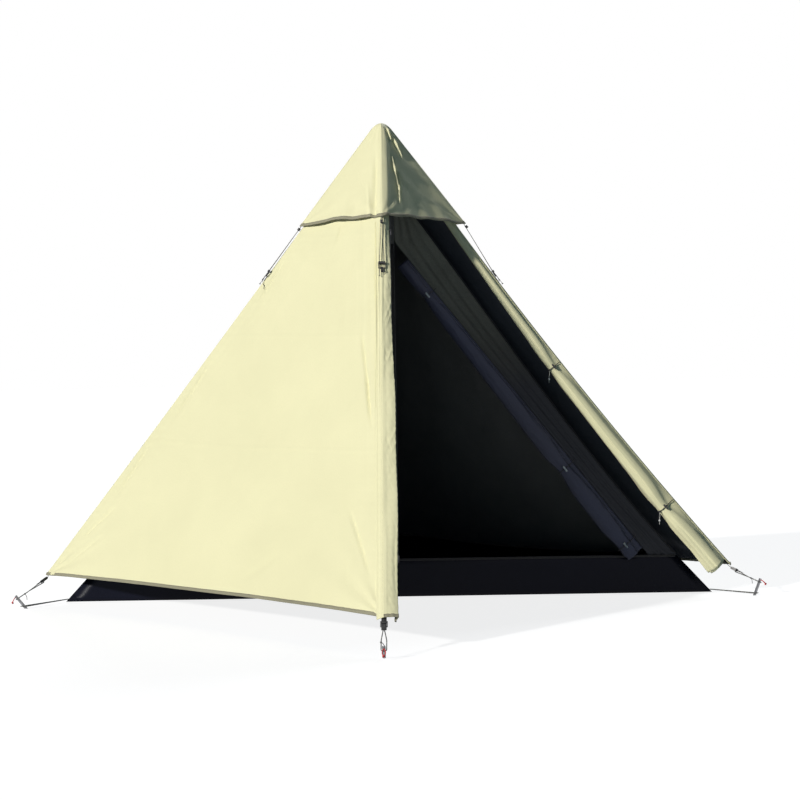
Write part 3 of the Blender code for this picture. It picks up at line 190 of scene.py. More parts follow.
# A grid of points as one mesh with a map in metres. Its faces point along columns x rows.
def gridMesh(points, chart, closed=False):
    rows, columns = points.shape[:2]
    index = np.arange(rows * columns).reshape(rows, columns)
    if closed:
        index = np.concatenate([index, index[:, :1]], axis=1)
    quads = np.stack([index[:-1, :-1], index[:-1, 1:], index[1:, 1:], index[1:, :-1]], axis=-1)
    quads = quads.reshape(-1, 4)
    mesh = bpy.data.meshes.new("sheet")
    mesh.from_pydata(points.reshape(-1, 3).tolist(), [], quads.tolist())
    layer = mesh.uv_layers.new(name="metres")
    flat = np.zeros((len(mesh.loops), 2))
    loops = np.zeros(len(mesh.loops), int)
    mesh.loops.foreach_get("vertex_index", loops)
    flat[:] = chart.reshape(-1, 2)[loops]
    layer.data.foreach_set("uv", flat.ravel())
    mesh.shade_smooth()
    return mesh


def inScene(name, data):
    item = bpy.data.objects.new(name, data)
    bpy.context.scene.collection.objects.link(item)
    return item


# A new piece and the body it will ride on. A body given with two points is stored with both points.
def place(name, mesh, body, *finishes):
    mesh.name = name
    item = inScene(name, mesh)
    mesh.materials.clear()
    for finish in finishes:
        mesh.materials.append(finish)
    if isinstance(body, str):
        item["rideOn"] = body
    else:
        item["rideOn"], item["slackFrom"], item["slackTo"] = body
    return item


# A finished piece: its body, its slot, which is not used, and the solids it replaces.
def done(item, slot, *nodes):
    if "slackFrom" in item:
        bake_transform(item)
    else:
        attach(item, item["rideOn"])
    if nodes:
        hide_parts(*nodes)
    return item


# A small piece in one go.
def trim(name, mesh, finish, slot, body="tent"):
    return done(place(name, mesh, body, finish), slot)


# A piece of cloth with its wall under the drawn side. A second finish is for the inside.
def clothPiece(name, mesh, thickness, slot, node, *finishes):
    item = place(name, mesh, "tent", *finishes)
    wall = item.modifiers.new("cloth", "SOLIDIFY")
    wall.thickness, wall.offset, wall.use_rim = thickness, -1.0, True
    wall.material_offset = len(finishes) - 1
    return done(item, slot, node)


# How far along a line each of its points lies.
def runAlong(line):
    return np.concatenate([[0.0], np.cumsum(np.linalg.norm(np.diff(line, axis=0), axis=1))])


# Rings of points as one smooth skin, closed on itself or capped flat. chart gives each corner's place on the map.
def ringMesh(rings, chart=None, closed=False):
    bm = bmesh.new()
    rings = [[bm.verts.new(spot) for spot in ring] for ring in rings]
    layer = bm.loops.layers.uv.new("metres") if chart else None
    count, sides = len(rings), len(rings[0])
    for k in range(count if closed else count - 1):
        after = (k + 1) % count
        for j in range(sides):
            beside = (j + 1) % sides
            spots = ((k, j), (k, beside), (after, beside), (after, j))
            face = bm.faces.new([rings[a][b] for a, b in spots])
            face.smooth = True
            for loop, (a, b) in zip(face.loops, spots if chart else ()):
                loop[layer].uv = chart(k, j, a, b)
    if not closed:
        bm.faces.new(rings[0][::-1])
        bm.faces.new(rings[-1])
    bmesh.ops.recalc_face_normals(bm, faces=bm.faces[:])
    mesh = bpy.data.meshes.new("rings")
    bm.to_mesh(mesh)
    bm.free()
    return mesh


# A round tube through points, whose map runs along it in metres.
def tubeMesh(line, radius, sides=10, closed=False):
    line = np.asarray(line, float)
    if closed:
        along = unit(np.roll(line, -1, 0) - np.roll(line, 1, 0))
    else:
        along = unit(np.gradient(line, axis=0))
    side = np.zeros_like(line)
    first = np.cross(along[0], [0.0, 0.0, 1.0])
    if np.linalg.norm(first) < 0.1:
        first = np.cross(along[0], [0.0, 1.0, 0.0])
    side[0] = unit(first)
    for k in range(1, len(line)):
        side[k] = unit(side[k - 1] - along[k] * np.dot(side[k - 1], along[k]))
    over = np.cross(along, side)
    turn = np.arange(sides) / sides * math.tau
    ring = side[:, None] * np.cos(turn)[None, :, None] + over[:, None] * np.sin(turn)[None, :, None]
    radius = np.broadcast_to(np.asarray(radius, float), (len(line),))
    run = runAlong(line)

    def chart(k, j, a, b):
        wide = turn[-1] * radius[k] * sides / (sides - 1) if b == 0 and j == sides - 1 else turn[b] * radius[a]
        return wide, run[a] if a or not k else run[-1]

    return ringMesh(line[:, None] + ring * radius[:, None, None], chart, closed)


# A strap as a flat ribbon with rounded selvedges, from stations with their two axes.
def ribbonMesh(line, sides, outs, width, thickness):
    line, sides, outs = (np.broadcast_to(np.asarray(x, float), np.shape(line)) for x in (line, sides, outs))
    half, depth, edge = width / 2.0, thickness / 2.0, thickness * 0.35
    outline = [(-half, 0.0), (-half + edge, depth), (0.0, depth * 1.04), (half - edge, depth),
               (half, 0.0), (half - edge, -depth), (0.0, -depth * 1.04), (-half + edge, -depth)]
    run = runAlong(line)
    rings = [[spot + side * a + out * b for a, b in outline] for spot, side, out in zip(line, sides, outs)]
    return ringMesh(rings, lambda k, j, a, b: (outline[b][0], run[a]))


# A turned form from a profile of (radius, along), closed round its own bore.
def latheMesh(spot, along, profile, sides=20):
    along = unit(along)
    side = unit(np.cross(along, [0.31, 0.17, 0.93]))
    over = np.cross(along, side)
    turn = np.arange(sides) / sides * math.tau
    ring = side * np.cos(turn)[:, None] + over * np.sin(turn)[:, None]
    rings = [[spot + along * high + spoke * radius for spoke in ring] for radius, high in profile]
    return ringMesh(rings, closed=True)


# A smooth curve through a few points, count points long.
def through(points, count, closed=False):
    points = np.asarray(points, float)
    if closed:
        ends = np.concatenate([points[-1:], points, points[:2]])
        legs = len(points)
    else:
        ends = np.concatenate([[points[0] * 2 - points[1]], points, [points[-1] * 2 - points[-2]]])
        legs = len(points) - 1
    at = np.linspace(0.0, legs, count, endpoint=not closed)
    leg = np.minimum(at.astype(int), legs - 1)
    s = (at - leg)[:, None]
    before, start, end, after = (ends[leg + k] for k in range(4))
    bend = (2.0 * before - 5.0 * start + 4.0 * end - after) * s * s
    twist = (3.0 * start - before - 3.0 * end + after) * s**3
    return 0.5 * (2.0 * start + (end - before) * s + bend + twist)


# A material with its tree and its shader.
def newFinish(name, roughness, metallic=0.0, specular=0.5):
    made = bpy.data.materials.new(name)
    made.use_nodes = True
    shader = made.node_tree.nodes["Principled BSDF"]
    shader.inputs["Roughness"].default_value = roughness
    shader.inputs["Metallic"].default_value = metallic
    shader.inputs["Specular IOR Level"].default_value = specular
    return made, made.node_tree, shader


# Leads a finish's colour, bump and roughness into its shader.
def lead(tree, shader, colour, normal, rough=None):
    for key, value in (("Base Color", colour), ("Normal", normal), ("Roughness", rough)):
        if value:
            tree.links.new(value, shader.inputs[key])


# A node with its wires: a socket is linked, and any other value is set.
def addNode(tree, kind, wires=None, **settings):
    made = tree.nodes.new(kind)
    for key, value in settings.items():
        setattr(made, key, value)
    for key, value in (wires or {}).items():
        if isinstance(value, bpy.types.NodeSocket):
            tree.links.new(value, made.inputs[key])
        else:
            made.inputs[key].default_value = value
    return made


# A node's first socket, where nothing else of the node is needed.
def firstOf(tree, kind, wires=None, **settings):
    return addNode(tree, kind, wires, **settings).outputs[0]


def sums(tree, how, first, second):
    return firstOf(tree, "ShaderNodeMath", {0: first, 1: second}, operation=how)


# The cloth's own map in metres, and the place in the object.
def mapOf(tree):
    return firstOf(tree, "ShaderNodeUVMap", uv_map="metres")


def spotOf(tree):
    return addNode(tree, "ShaderNodeTexCoord").outputs["Object"]


# Each of the two is a colour or a socket that carries one.
def blendColours(tree, factor, first, second):
    first, second = (x if isinstance(x, bpy.types.NodeSocket) else (*x, 1.0) for x in (first, second))
    wires = {0: factor, 6: first, 7: second}
    return addNode(tree, "ShaderNodeMix", wires, data_type="RGBA").outputs[2]


def stretched(tree, vector, scale):
    return firstOf(tree, "ShaderNodeMapping", {"Vector": vector, "Scale": scale})


def noiseOn(tree, vector, scale, detail=3.0, rough=0.5, warp=0.0):
    wires = {"Vector": vector, "Scale": scale, "Detail": detail, "Roughness": rough, "Distortion": warp}
    return addNode(tree, "ShaderNodeTexNoise", wires).outputs["Fac"]


def ramp(tree, value, low, high, first=0.0, last=1.0):
    wires = {0: value, 1: low, 2: high, 3: first, 4: last}
    return firstOf(tree, "ShaderNodeMapRange", wires)


def bump(tree, height, distance, strength, below=None):
    wires = {"Height": height, "Distance": distance, "Strength": strength}
    if below is not None:
        wires["Normal"] = below
    return firstOf(tree, "ShaderNodeBump", wires)


# Threads that cross, from the map in metres; pitch is one thread's width.
def threads(tree, chart, pitch):
    scale = math.tau / (20.0 * pitch * 2.0)
    wires = {"Vector": chart, "Scale": scale}
    waves = [addNode(tree, "ShaderNodeTexWave", wires, bands_direction=way).outputs["Fac"] for way in ("X", "Y")]
    return sums(tree, "MULTIPLY", *waves)


clothLooks = {
    "fly_cream": {"lit": (0.86, 0.822, 0.525), "worn": (0.80, 0.765, 0.485), "rough": 0.62, "shine": 0.12,
                  "sheen": 0.12, "pitch": 0.0006, "weave": 0.00012, "slack": 0.0035},
    "fly_coating": {"lit": (0.105, 0.110, 0.130), "worn": (0.066, 0.070, 0.084), "rough": 0.46,
                    "sheen": 0.03, "pitch": 0.0006, "weave": 0.00010, "slack": 0.0035},
    "inner_black": {"lit": (0.185, 0.180, 0.170), "worn": (0.125, 0.122, 0.118), "rough": 0.66,
                    "sheen": 0.18, "pitch": 0.0007, "weave": 0.00014, "slack": 0.0040},
    "inner_navy": {"lit": (0.020, 0.027, 0.062), "worn": (0.011, 0.014, 0.032), "rough": 0.55,
                   "sheen": 0.22, "pitch": 0.0007, "weave": 0.00014, "slack": 0.0040},
    "tub_coated": {"lit": (0.008, 0.009, 0.020), "worn": (0.004, 0.005, 0.011), "rough": 0.34, "shine": 0.09,
                   "sheen": 0.0, "pitch": 0.0008, "weave": 0.00016, "slack": 0.0050},
    # The net's colour carries painted light and shade: a lighter colour at the top, and painted shade that darkens it
    # to near black lower down.
    "inner_net": {"lit": (0.30, 0.29, 0.235), "worn": (0.16, 0.155, 0.125), "rough": 0.70,
                  "sheen": 0.10, "pitch": 0.0009, "weave": 0.00020, "slack": 0.0040,
                  "paintedShadeFade": (0.95, 1.60), "low": (0.012, 0.014, 0.020)},
    "binding_taupe": {"lit": (0.355, 0.33, 0.23), "worn": (0.24, 0.225, 0.155), "rough": 0.78,
                      "sheen": 0.15, "pitch": 0.0005, "weave": 0.00022, "slack": 0.0010},
    "binding_black": {"lit": (0.022, 0.022, 0.024), "worn": (0.014, 0.014, 0.016), "rough": 0.74,
                      "sheen": 0.15, "pitch": 0.0005, "weave": 0.00022, "slack": 0.0010},
}


# Woven cloth: crossed threads, a worn tone, streaks along it and slack creases. Where a look gives heights, painted
# shade darkens its colour below them.
def clothFinish(name):
    look = clothLooks[name]
    made, tree, shader = newFinish(name, look["rough"], 0.0, look.get("shine", 0.35))
    shader.inputs["Sheen Weight"].default_value = look["sheen"]
    shader.inputs["Sheen Roughness"].default_value = 0.45
    chart = mapOf(tree)
    spot = spotOf(tree)
    tone = noiseOn(tree, spot, 2.1, 4.0, 0.6, 0.3)
    fibre = noiseOn(tree, stretched(tree, chart, (900.0, 90.0, 1.0)), 1.0, 2.0, 0.6)
    both = sums(tree, "MULTIPLY", tone, fibre)
    shade = blendColours(tree, ramp(tree, both, 0.14, 0.40), look["worn"], look["lit"])
    # Painted shade: lower down the colour blends into the dark low colour, between the two heights given.
    if "paintedShadeFade" in look:
        height = addNode(tree, "ShaderNodeSeparateXYZ", {0: spot}).outputs["Z"]
        shade = blendColours(tree, ramp(tree, height, *look["paintedShadeFade"]), look["low"], shade)
    streak = noiseOn(tree, stretched(tree, chart, (26.0, 2.6, 1.0)), 1.0, 4.0, 0.55, 0.3)
    crumple = noiseOn(tree, spot, 11.0, 5.0, 0.5, 0.5)
    normal = bump(tree, threads(tree, chart, look["pitch"]), look["weave"], 0.5)
    normal = bump(tree, streak, look["slack"] * 0.5, 0.45, normal)
    normal = bump(tree, crumple, look["slack"], 0.35, normal)
    lead(tree, shader, shade, normal, ramp(tree, fibre, 0.2, 0.8, look["rough"] - 0.06, look["rough"] + 0.08))
    return made


made = [clothFinish(name) for name in clothLooks]
flyCream, flyCoating, innerBlack, innerNavy, tubCoated, innerNet, bindingTaupe, bindingBlack = made


# Webbing: ribs across, with a thread pattern between its two edges.
def webbingFinish(name, lit, dark, pitch):
    made, tree, shader = newFinish(name, 0.75, 0.0, 0.3)
    shader.inputs["Sheen Weight"].default_value = 0.2
    chart = mapOf(tree)
    scale = math.tau / (20.0 * pitch)
    rib = addNode(tree, "ShaderNodeTexWave", {"Vector": chart, "Scale": scale, "Distortion": 0.4,
                                              "Detail Scale": 2.0}, bands_direction="Y")
    cross = addNode(tree, "ShaderNodeTexWave", {"Vector": chart, "Scale": scale * 0.8},
                    bands_direction="X")
    both = sums(tree, "MULTIPLY", rib.outputs["Fac"], cross.outputs["Fac"])
    fuzz = noiseOn(tree, stretched(tree, chart, (1500.0, 400.0, 1.0)), 1.0, 2.0)
    level = sums(tree, "MULTIPLY", both, fuzz)
    lead(tree, shader, blendColours(tree, ramp(tree, level, 0.0, 0.5), dark, lit), bump(tree, both, 0.0005, 0.8))
    return made


webbingBlack = webbingFinish("webbing_black", (0.045, 0.045, 0.048), (0.012, 0.012, 0.013), 0.0016)


# Braided cord: two slanting sets of strands round the tube, with a tracer fleck.
def cordFinish(name, lit, dark, fleck, width):
    made, tree, shader = newFinish(name, 0.7, 0.0, 0.3)
    shader.inputs["Sheen Weight"].default_value = 0.15
    chart = mapOf(tree)
    waves = []
    for lean in (0.7, -0.7):
        turned = firstOf(tree, "ShaderNodeMapping", {"Vector": chart, "Rotation": (0.0, 0.0, lean)})
        wires = {"Vector": turned, "Scale": math.tau / (20.0 * width)}
        waves.append(addNode(tree, "ShaderNodeTexWave", wires, bands_direction="X").outputs["Fac"])
    braid = sums(tree, "MAXIMUM", *waves)
    ground = blendColours(tree, ramp(tree, braid, 0.45, 1.0), dark, lit)
    spots = noiseOn(tree, stretched(tree, chart, (1.0, 130.0, 1.0)), 1.0, 0.0)
    flecked = blendColours(tree, ramp(tree, spots, 0.66, 0.70), ground, fleck)
    lead(tree, shader, flecked, bump(tree, braid, 0.0003, 0.8))
    return made


guyBraid = cordFinish("guy_braid", (0.15, 0.148, 0.135), (0.05, 0.05, 0.046), (0.55, 0.54, 0.48), 0.0011)
hoodBraid = cordFinish("hood_braid", (0.17, 0.165, 0.14), (0.05, 0.05, 0.045), (0.30, 0.29, 0.25), 0.0010)
tieBraid = cordFinish("tie_braid", (0.030, 0.030, 0.032), (0.010, 0.010, 0.011), (0.06, 0.06, 0.06), 0.0011)
paleBraid = cordFinish("pale_braid", (0.66, 0.65, 0.60), (0.38, 0.37, 0.33), (0.80, 0.79, 0.74), 0.0010)
redBraid = cordFinish("red_braid", (0.80, 0.045, 0.050), (0.45, 0.020, 0.022), (0.90, 0.20, 0.16), 0.0010)


# Moulded plastic: fine grain, a little dust in it, rubbed patches.
def plasticFinish(name, lit, dark, rough):
    made, tree, shader = newFinish(name, rough, 0.0, 0.45)
    spot = spotOf(tree)
    grain = noiseOn(tree, spot, 2600.0, 2.0, 0.6)
    rub = noiseOn(tree, spot, 120.0, 4.0, 0.6, 0.6)
    lead(tree, shader, blendColours(tree, ramp(tree, rub, 0.35, 0.7), dark, lit),
         bump(tree, grain, 0.00008, 0.35), ramp(tree, rub, 0.3, 0.75, rough - 0.08, rough + 0.12))
    return made


plasticBlack = plasticFinish("plastic_black", (0.030, 0.030, 0.032), (0.016, 0.016, 0.017), 0.42)
plasticGrey = plasticFinish("plastic_grey", (0.84, 0.84, 0.82), (0.72, 0.72, 0.70), 0.45)
rubberBlack = plasticFinish("rubber_black", (0.034, 0.033, 0.032), (0.020, 0.020, 0.020), 0.85)


# Drawn metal: hair lines along Z, with dull patches.
def metalFinish(name, lit, dark, rough, lines=(900.0, 900.0, 14.0)):
    made, tree, shader = newFinish(name, rough, 1.0)
    spot = spotOf(tree)
    hair = noiseOn(tree, stretched(tree, spot, lines), 1.0, 3.0, 0.6)
    dull = noiseOn(tree, spot, 24.0, 4.0, 0.6, 0.8)
    lead(tree, shader, blendColours(tree, ramp(tree, dull, 0.35, 0.68), dark, lit),
         bump(tree, hair, 0.00005, 0.4), ramp(tree, hair, 0.3, 0.7, rough - 0.08, rough + 0.10))
    return made


poleMetal = metalFinish("pole_aluminium", (0.72, 0.73, 0.74), (0.58, 0.59, 0.60), 0.32)
stakeMetal = metalFinish("stake_aluminium", (0.30, 0.305, 0.32), (0.19, 0.19, 0.20), 0.42, (500.0, 500.0, 60.0))
zipMetal = metalFinish("zip_metal", (0.12, 0.12, 0.125), (0.05, 0.05, 0.055), 0.40, (900.0, 900.0, 200.0))
zipTeeth = plasticFinish("zip_teeth", (0.040, 0.040, 0.043), (0.022, 0.022, 0.024), 0.36)


# A thread or tooth finish on Object coordinates, for small forms that carry no map.
def threadFinish(name, lit, dark):
    made, tree, shader = newFinish(name, 0.8, 0.0, 0.3)
    spot = spotOf(tree)
    ply = noiseOn(tree, spot, 1400.0, 2.0, 0.6)
    worn = noiseOn(tree, spot, 18.0, 3.0, 0.6)
    both = sums(tree, "MULTIPLY", ply, worn)
    lead(tree, shader, blendColours(tree, ramp(tree, both, 0.12, 0.40), dark, lit), bump(tree, ply, 0.0002, 0.6))
    return made


threadCream = threadFinish("thread_cream", (0.66, 0.62, 0.40), (0.40, 0.37, 0.24))
threadTaupe = threadFinish("thread_taupe", (0.24, 0.225, 0.17), (0.13, 0.12, 0.09))
threadBlack = threadFinish("thread_black", (0.060, 0.060, 0.066), (0.030, 0.030, 0.034))


nodeFinishes = {
    "ladder_lock": plasticBlack, "hood_tensioner": plasticBlack, "fly_toggle": plasticBlack,
    "inner_toggle": plasticGrey, "stake": stakeMetal, "pole_upper": poleMetal, "pole_lower": poleMetal,
    "pole_foot": rubberBlack, "pole_clamp": plasticBlack, "fly_zip": zipMetal, "inner_zip": zipMetal,
}
for name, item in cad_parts.items():
    for start, finish in nodeFinishes.items():
        if name.startswith(start):
            for slot in item.material_slots:
                slot.material = finish
print("finishes made")


# One small form repeated along lines. Each line's points carry the direction that faces out.
def rowTree(name, form, sizes):
    tree = bpy.data.node_groups.new(name, "GeometryNodeTree")
    sockets = tree.interface
    sockets.new_socket("Lines", in_out="INPUT", socket_type="NodeSocketGeometry")
    for key, value in sizes.items():
        sockets.new_socket(key, in_out="INPUT", socket_type="NodeSocketFloat").default_value = value
    sockets.new_socket("Seed", in_out="INPUT", socket_type="NodeSocketInt").default_value = 7
    sockets.new_socket("Finish", in_out="INPUT", socket_type="NodeSocketMaterial")
    sockets.new_socket("Rows", in_out="OUTPUT", socket_type="NodeSocketGeometry")
    given = addNode(tree, "NodeGroupInput").outputs
    curve = firstOf(tree, "GeometryNodeMeshToCurve", {"Mesh": given["Lines"]})
    spots = addNode(tree, "GeometryNodeCurveToPoints", {"Curve": curve, "Length": given["Pitch"]}, mode="LENGTH")
    facing = firstOf(tree, "GeometryNodeInputNamedAttribute", {"Name": "out"}, data_type="FLOAT_VECTOR")
    turn = firstOf(tree, "FunctionNodeAlignRotationToVector", {"Vector": spots.outputs["Tangent"]}, axis="X")
    wires = {"Rotation": turn, "Vector": facing}
    turn = firstOf(tree, "FunctionNodeAlignRotationToVector", wires, axis="Z", pivot_axis="X")
    size = firstOf(tree, "ShaderNodeCombineXYZ", {"X": given["Long"], "Y": given["Wide"], "Z": given["High"]})
    shape = firstOf(tree, "GeometryNodeTransform", {"Geometry": form(tree), "Scale": size})
    vary = {"Min": (0.86, 0.92, 0.90), "Max": (1.08, 1.08, 1.10), "Seed": given["Seed"]}
    vary = addNode(tree, "FunctionNodeRandomValue", vary, data_type="FLOAT_VECTOR")
    wires = {"Points": spots.outputs["Points"], "Instance": shape, "Rotation": turn,
             "Scale": vary.outputs["Value"]}
    placed = firstOf(tree, "GeometryNodeInstanceOnPoints", wires)
    real = firstOf(tree, "GeometryNodeRealizeInstances", {"Geometry": placed})
    smooth = firstOf(tree, "GeometryNodeSetShadeSmooth", {"Geometry": real})
    coat = firstOf(tree, "GeometryNodeSetMaterial", {"Geometry": smooth, "Material": given["Finish"]})
    addNode(tree, "NodeGroupOutput", {"Rows": coat})
    return tree


def bead(tree):
    return firstOf(tree, "GeometryNodeMeshIcoSphere", {"Radius": 0.5, "Subdivisions": 1})


def rung(tree):
    made = addNode(tree, "GeometryNodeMeshCylinder", {"Vertices": 6, "Radius": 0.5, "Depth": 1.0})
    wires = {"Geometry": made.outputs["Mesh"], "Rotation": (math.pi / 2.0, 0.0, 0.0)}
    return firstOf(tree, "GeometryNodeTransform", wires)


stitchRow = rowTree("stitchRow", bead, {"Pitch": 0.0060, "Long": 0.0043, "Wide": 0.0010, "High": 0.0008})
toothRow = rowTree("toothRow", rung, {"Pitch": 0.0024, "Long": 0.0015, "Wide": 0.0042, "High": 0.0018})


# Lines as (points, outward directions), filled by a tree and kept as one plain mesh.
def fillRows(name, tree, lines, finish, seed, slot="webbing"):
    spots = [np.asarray(points, float) for points, _ in lines]
    outs = np.concatenate([np.broadcast_to(np.asarray(out, float), points.shape)
                           for points, (_, out) in zip(spots, lines)])
    edges, start = [], 0
    for points in spots:
        edges += [(start + k, start + k + 1) for k in range(len(points) - 1)]
        start += len(points)
    mesh = bpy.data.meshes.new("lines")
    mesh.from_pydata(np.concatenate(spots).tolist(), edges, [])
    mesh.attributes.new("out", "FLOAT_VECTOR", "POINT").data.foreach_set("vector", outs.ravel())
    item = place(name, mesh, "tent")
    made = item.modifiers.new("rows", "NODES")
    made.node_group = tree
    values = {"Seed": seed, "Finish": finish}
    for socket in tree.interface.items_tree:
        if socket.in_out == "INPUT" and socket.name in values:
            made[socket.identifier] = values[socket.name]
    solid = bpy.data.meshes.new_from_object(item.evaluated_get(bpy.context.evaluated_depsgraph_get()))
    item.modifiers.clear()
    item.data = solid
    bpy.data.meshes.remove(mesh)
    solid.name = name
    return done(item, slot)


view = {
    "place": (0.0975, -8.2, 1.0567),
    "lens": 81.43,
    "turn": 0.222,
    "rise": -1.10,
    "roll": -0.916,
}


def makeCamera():
    data = bpy.data.cameras.new("photoCamera")
    data.lens, data.sensor_width, data.clip_end = view["lens"], 36.0, 200.0
    item = inScene("photoCamera", data)
    turn, rise, roll = (math.radians(view[key]) for key in ("turn", "rise", "roll"))
    ahead = Vector((-math.sin(turn) * math.cos(rise), math.cos(turn) * math.cos(rise), math.sin(rise)))
    right = ahead.cross(Vector(up)).normalized()
    top = right.cross(ahead)
    tilted = right * math.cos(roll) + top * math.sin(roll)
    upright = top * math.cos(roll) - right * math.sin(roll)
    item.matrix_world = Matrix.Translation(view["place"]) @ Matrix(
        (tilted, upright, -ahead)
    ).transposed().to_4x4()
    bpy.context.scene.camera = item


lights = {
    "key": {"toward": (-0.7265, -0.6062, 0.322), "level": 1.045, "soft": 0.045, "colour": (1.0, 0.978, 0.94)},
    "fill": {"toward": (0.30, 0.78, 0.55), "level": 0.46, "soft": 0.36, "colour": (0.96, 0.98, 1.0)},
}
sky = (0.005, 0.031, 0.056)


# What the camera sees by itself, in a mirror or through glass.
def seenRay(tree):
    rays = addNode(tree, "ShaderNodeLightPath").outputs
    seen = sums(tree, "MAXIMUM", rays["Is Camera Ray"], rays["Is Glossy Ray"])
    return sums(tree, "MAXIMUM", seen, rays["Is Transmission Ray"])


def makeLights():
    for name, look in lights.items():
        data = bpy.data.lights.new(name, "SUN")
        data.energy, data.angle = look["level"] * math.pi, look["soft"]
        data.color = look["colour"]
        item = inScene(name, data)
        item.rotation_mode = "QUATERNION"
        item.rotation_quaternion = Vector(look["toward"]).to_track_quat("Z", "Y")
    world = bpy.data.worlds.new("studio")
    bpy.context.scene.world = world
    world.use_nodes = True
    tree = world.node_tree
    tree.nodes.clear()
    soft = firstOf(tree, "ShaderNodeBackground", {"Color": (*sky, 1.0), "Strength": 1.0})
    white = firstOf(tree, "ShaderNodeBackground", {"Color": (1.0, 1.0, 1.0, 1.0), "Strength": 1.0})
    both = firstOf(tree, "ShaderNodeMixShader", {0: seenRay(tree), 1: soft, 2: white})
    addNode(tree, "ShaderNodeOutputWorld", {"Surface": both})


floorLook = {
    "size": 90.0,
    "height": -0.001,
    "bounce": (0.40, 0.47, 0.50, 1.0),
    "shadow": (0.36, 0.36, 0.36, 1.0),
    "glow": 0.83,
}


# A pale floor: white where it is lit, and a light shadow under the tent.
def makeFloor():
    mesh = bpy.data.meshes.new("floor")
    size, height = floorLook["size"], floorLook["height"]
    spots = [(x * size, y * size, height) for x, y in ((-1.0, -1.0), (1.0, -1.0), (1.0, 1.0), (-1.0, 1.0))]
    mesh.from_pydata(spots, [], [(0, 1, 2, 3)])
    floor = inScene("floor", mesh)
    made = bpy.data.materials.new("floor_paper")
    made.use_nodes = True
    tree = made.node_tree
    tree.nodes.clear()
    plain = firstOf(tree, "ShaderNodeBsdfDiffuse", {"Color": floorLook["bounce"]})
    shadow = firstOf(tree, "ShaderNodeBsdfDiffuse", {"Color": floorLook["shadow"]})
    glow = firstOf(tree, "ShaderNodeEmission", {"Color": (1.0, 1.0, 1.0, 1.0), "Strength": floorLook["glow"]})
    shown = firstOf(tree, "ShaderNodeAddShader", {0: shadow, 1: glow})
    both = firstOf(tree, "ShaderNodeMixShader", {0: seenRay(tree), 1: plain, 2: shown})
    addNode(tree, "ShaderNodeOutputMaterial", {"Surface": both})
    mesh.materials.append(made)


makeCamera()
makeLights()
makeFloor()
bpy.context.scene.view_settings.view_transform = "Standard"
print("camera, light and floor ready")


cordRadius = {"guy": 0.0020, "hood": 0.0012, "tie": 0.0018}
strap = {"width": 0.020, "thickness": 0.0015, "sewn": 0.060, "free": 0.072, "share": 0.985}
lock = {"set": 0.014, "length": 0.028, "bar": 0.0030, "drop": 0.0068}
# How far each stake stands beyond the corner and aside, its lean in degrees, and its height above ground.
stakes = {
    "front": (0.1244, 0.0, 40.0, 0.062),
    "right": (0.0860, -0.092, 20.0, 0.080),
    "back": (0.1244, 0.0, 30.0, 0.070),
    "left": (0.0580, 0.16, 38.0, 0.074),
}
stakeForm = {"fin": 0.0075, "headClear": 0.016, "loopRoom": 0.0006, "hole": 0.006, "holeOut": 0.0051}
strapDepth = (
    fly["fabric"] + 4.0 * gap + strap["width"] / 2.0 * math.cos(faceAngle / 2.0)
) / math.sin(faceAngle / 2.0)


# Across a ridge, down along it, and square to it outwards.
def ridgeAxes(corner, share):
    down = ridgeDown(corner, share)
    across = unit(np.cross(down, toward[corner]))
    rise = np.cross(across, down)
    return (-across, down, -rise) if rise[2] < 0.0 else (across, down, rise)


# Where a stake enters the ground, the way it points and how far it stands out.
def stakeAxes(corner):
    beyond, side, lean, proud = stakes[corner]
    away = toward[corner]
    aside = np.cross(up, away)
    base = away * (halfDiagonal + beyond) + aside * side
    tilt = math.radians(lean)
    return base, unit(unit(base) * math.sin(tilt) + up * math.cos(tilt)), proud


# The free end of a corner strap: its start, pull, side and lift, and the hook on the stake.
def guyFrame(corner):
    across, _, rise = ridgeAxes(corner, strap["share"])
    start = ridgeAt(corner, 1.0) - rise * (strapDepth + strap["thickness"] / 2.0)
    base, axis, proud = stakeAxes(corner)
    hook = base + axis * (proud - stakeForm["headClear"])
    pull = unit(hook + rise * lock["drop"] - start)
    side = unit(across - pull * dot(across, pull))
    lift = np.cross(side, pull)
    return (start, pull, -side, -lift, hook) if lift[2] < 0.0 else (start, pull, side, lift, hook)


cordLengths = {}


# A free cord as a tube that follows its line, whose length is kept in cordLengths.
def makeCord(name, line, radius, finish, body, slot, sides=10, nodes=(), extras=()):
    item = place(name, tubeMesh(line, radius, sides), body, finish)
    length = float(np.linalg.norm(np.diff(line, axis=0), axis=1).sum())
    done(item, slot, *nodes)
    cordLengths[name] = round(length, 3)


# Points given as distances along a few directions from one spot.
def pathFrom(spot, ways, table):
    return [spot + sum(way * far for way, far in zip(ways, row)) for row in table]


# Points on a half turn round a spot, from one side over the far end to the other.
def halfTurn(spot, far, side, radius, first):
    turns = np.linspace(first, first + math.pi, 9)
    return [spot + far * radius * math.cos(a) + side * radius * math.sin(a) for a in turns]


def buckleBar(corner):
    start, pull, _, lift, _ = guyFrame(corner)
    return start + pull * (lock["set"] + lock["length"] - lock["bar"] / 2.0) - lift * lock["drop"]


# Shares of a guy line between which it stops following its buckle and stays put with the stake.
guySlack = (0.10, 0.84)


def guyBody(corner):
    bar, hook = buckleBar(corner), guyFrame(corner)[4]
    return "buckle_" + corner, *(mix(bar, hook, t).tolist() for t in guySlack)


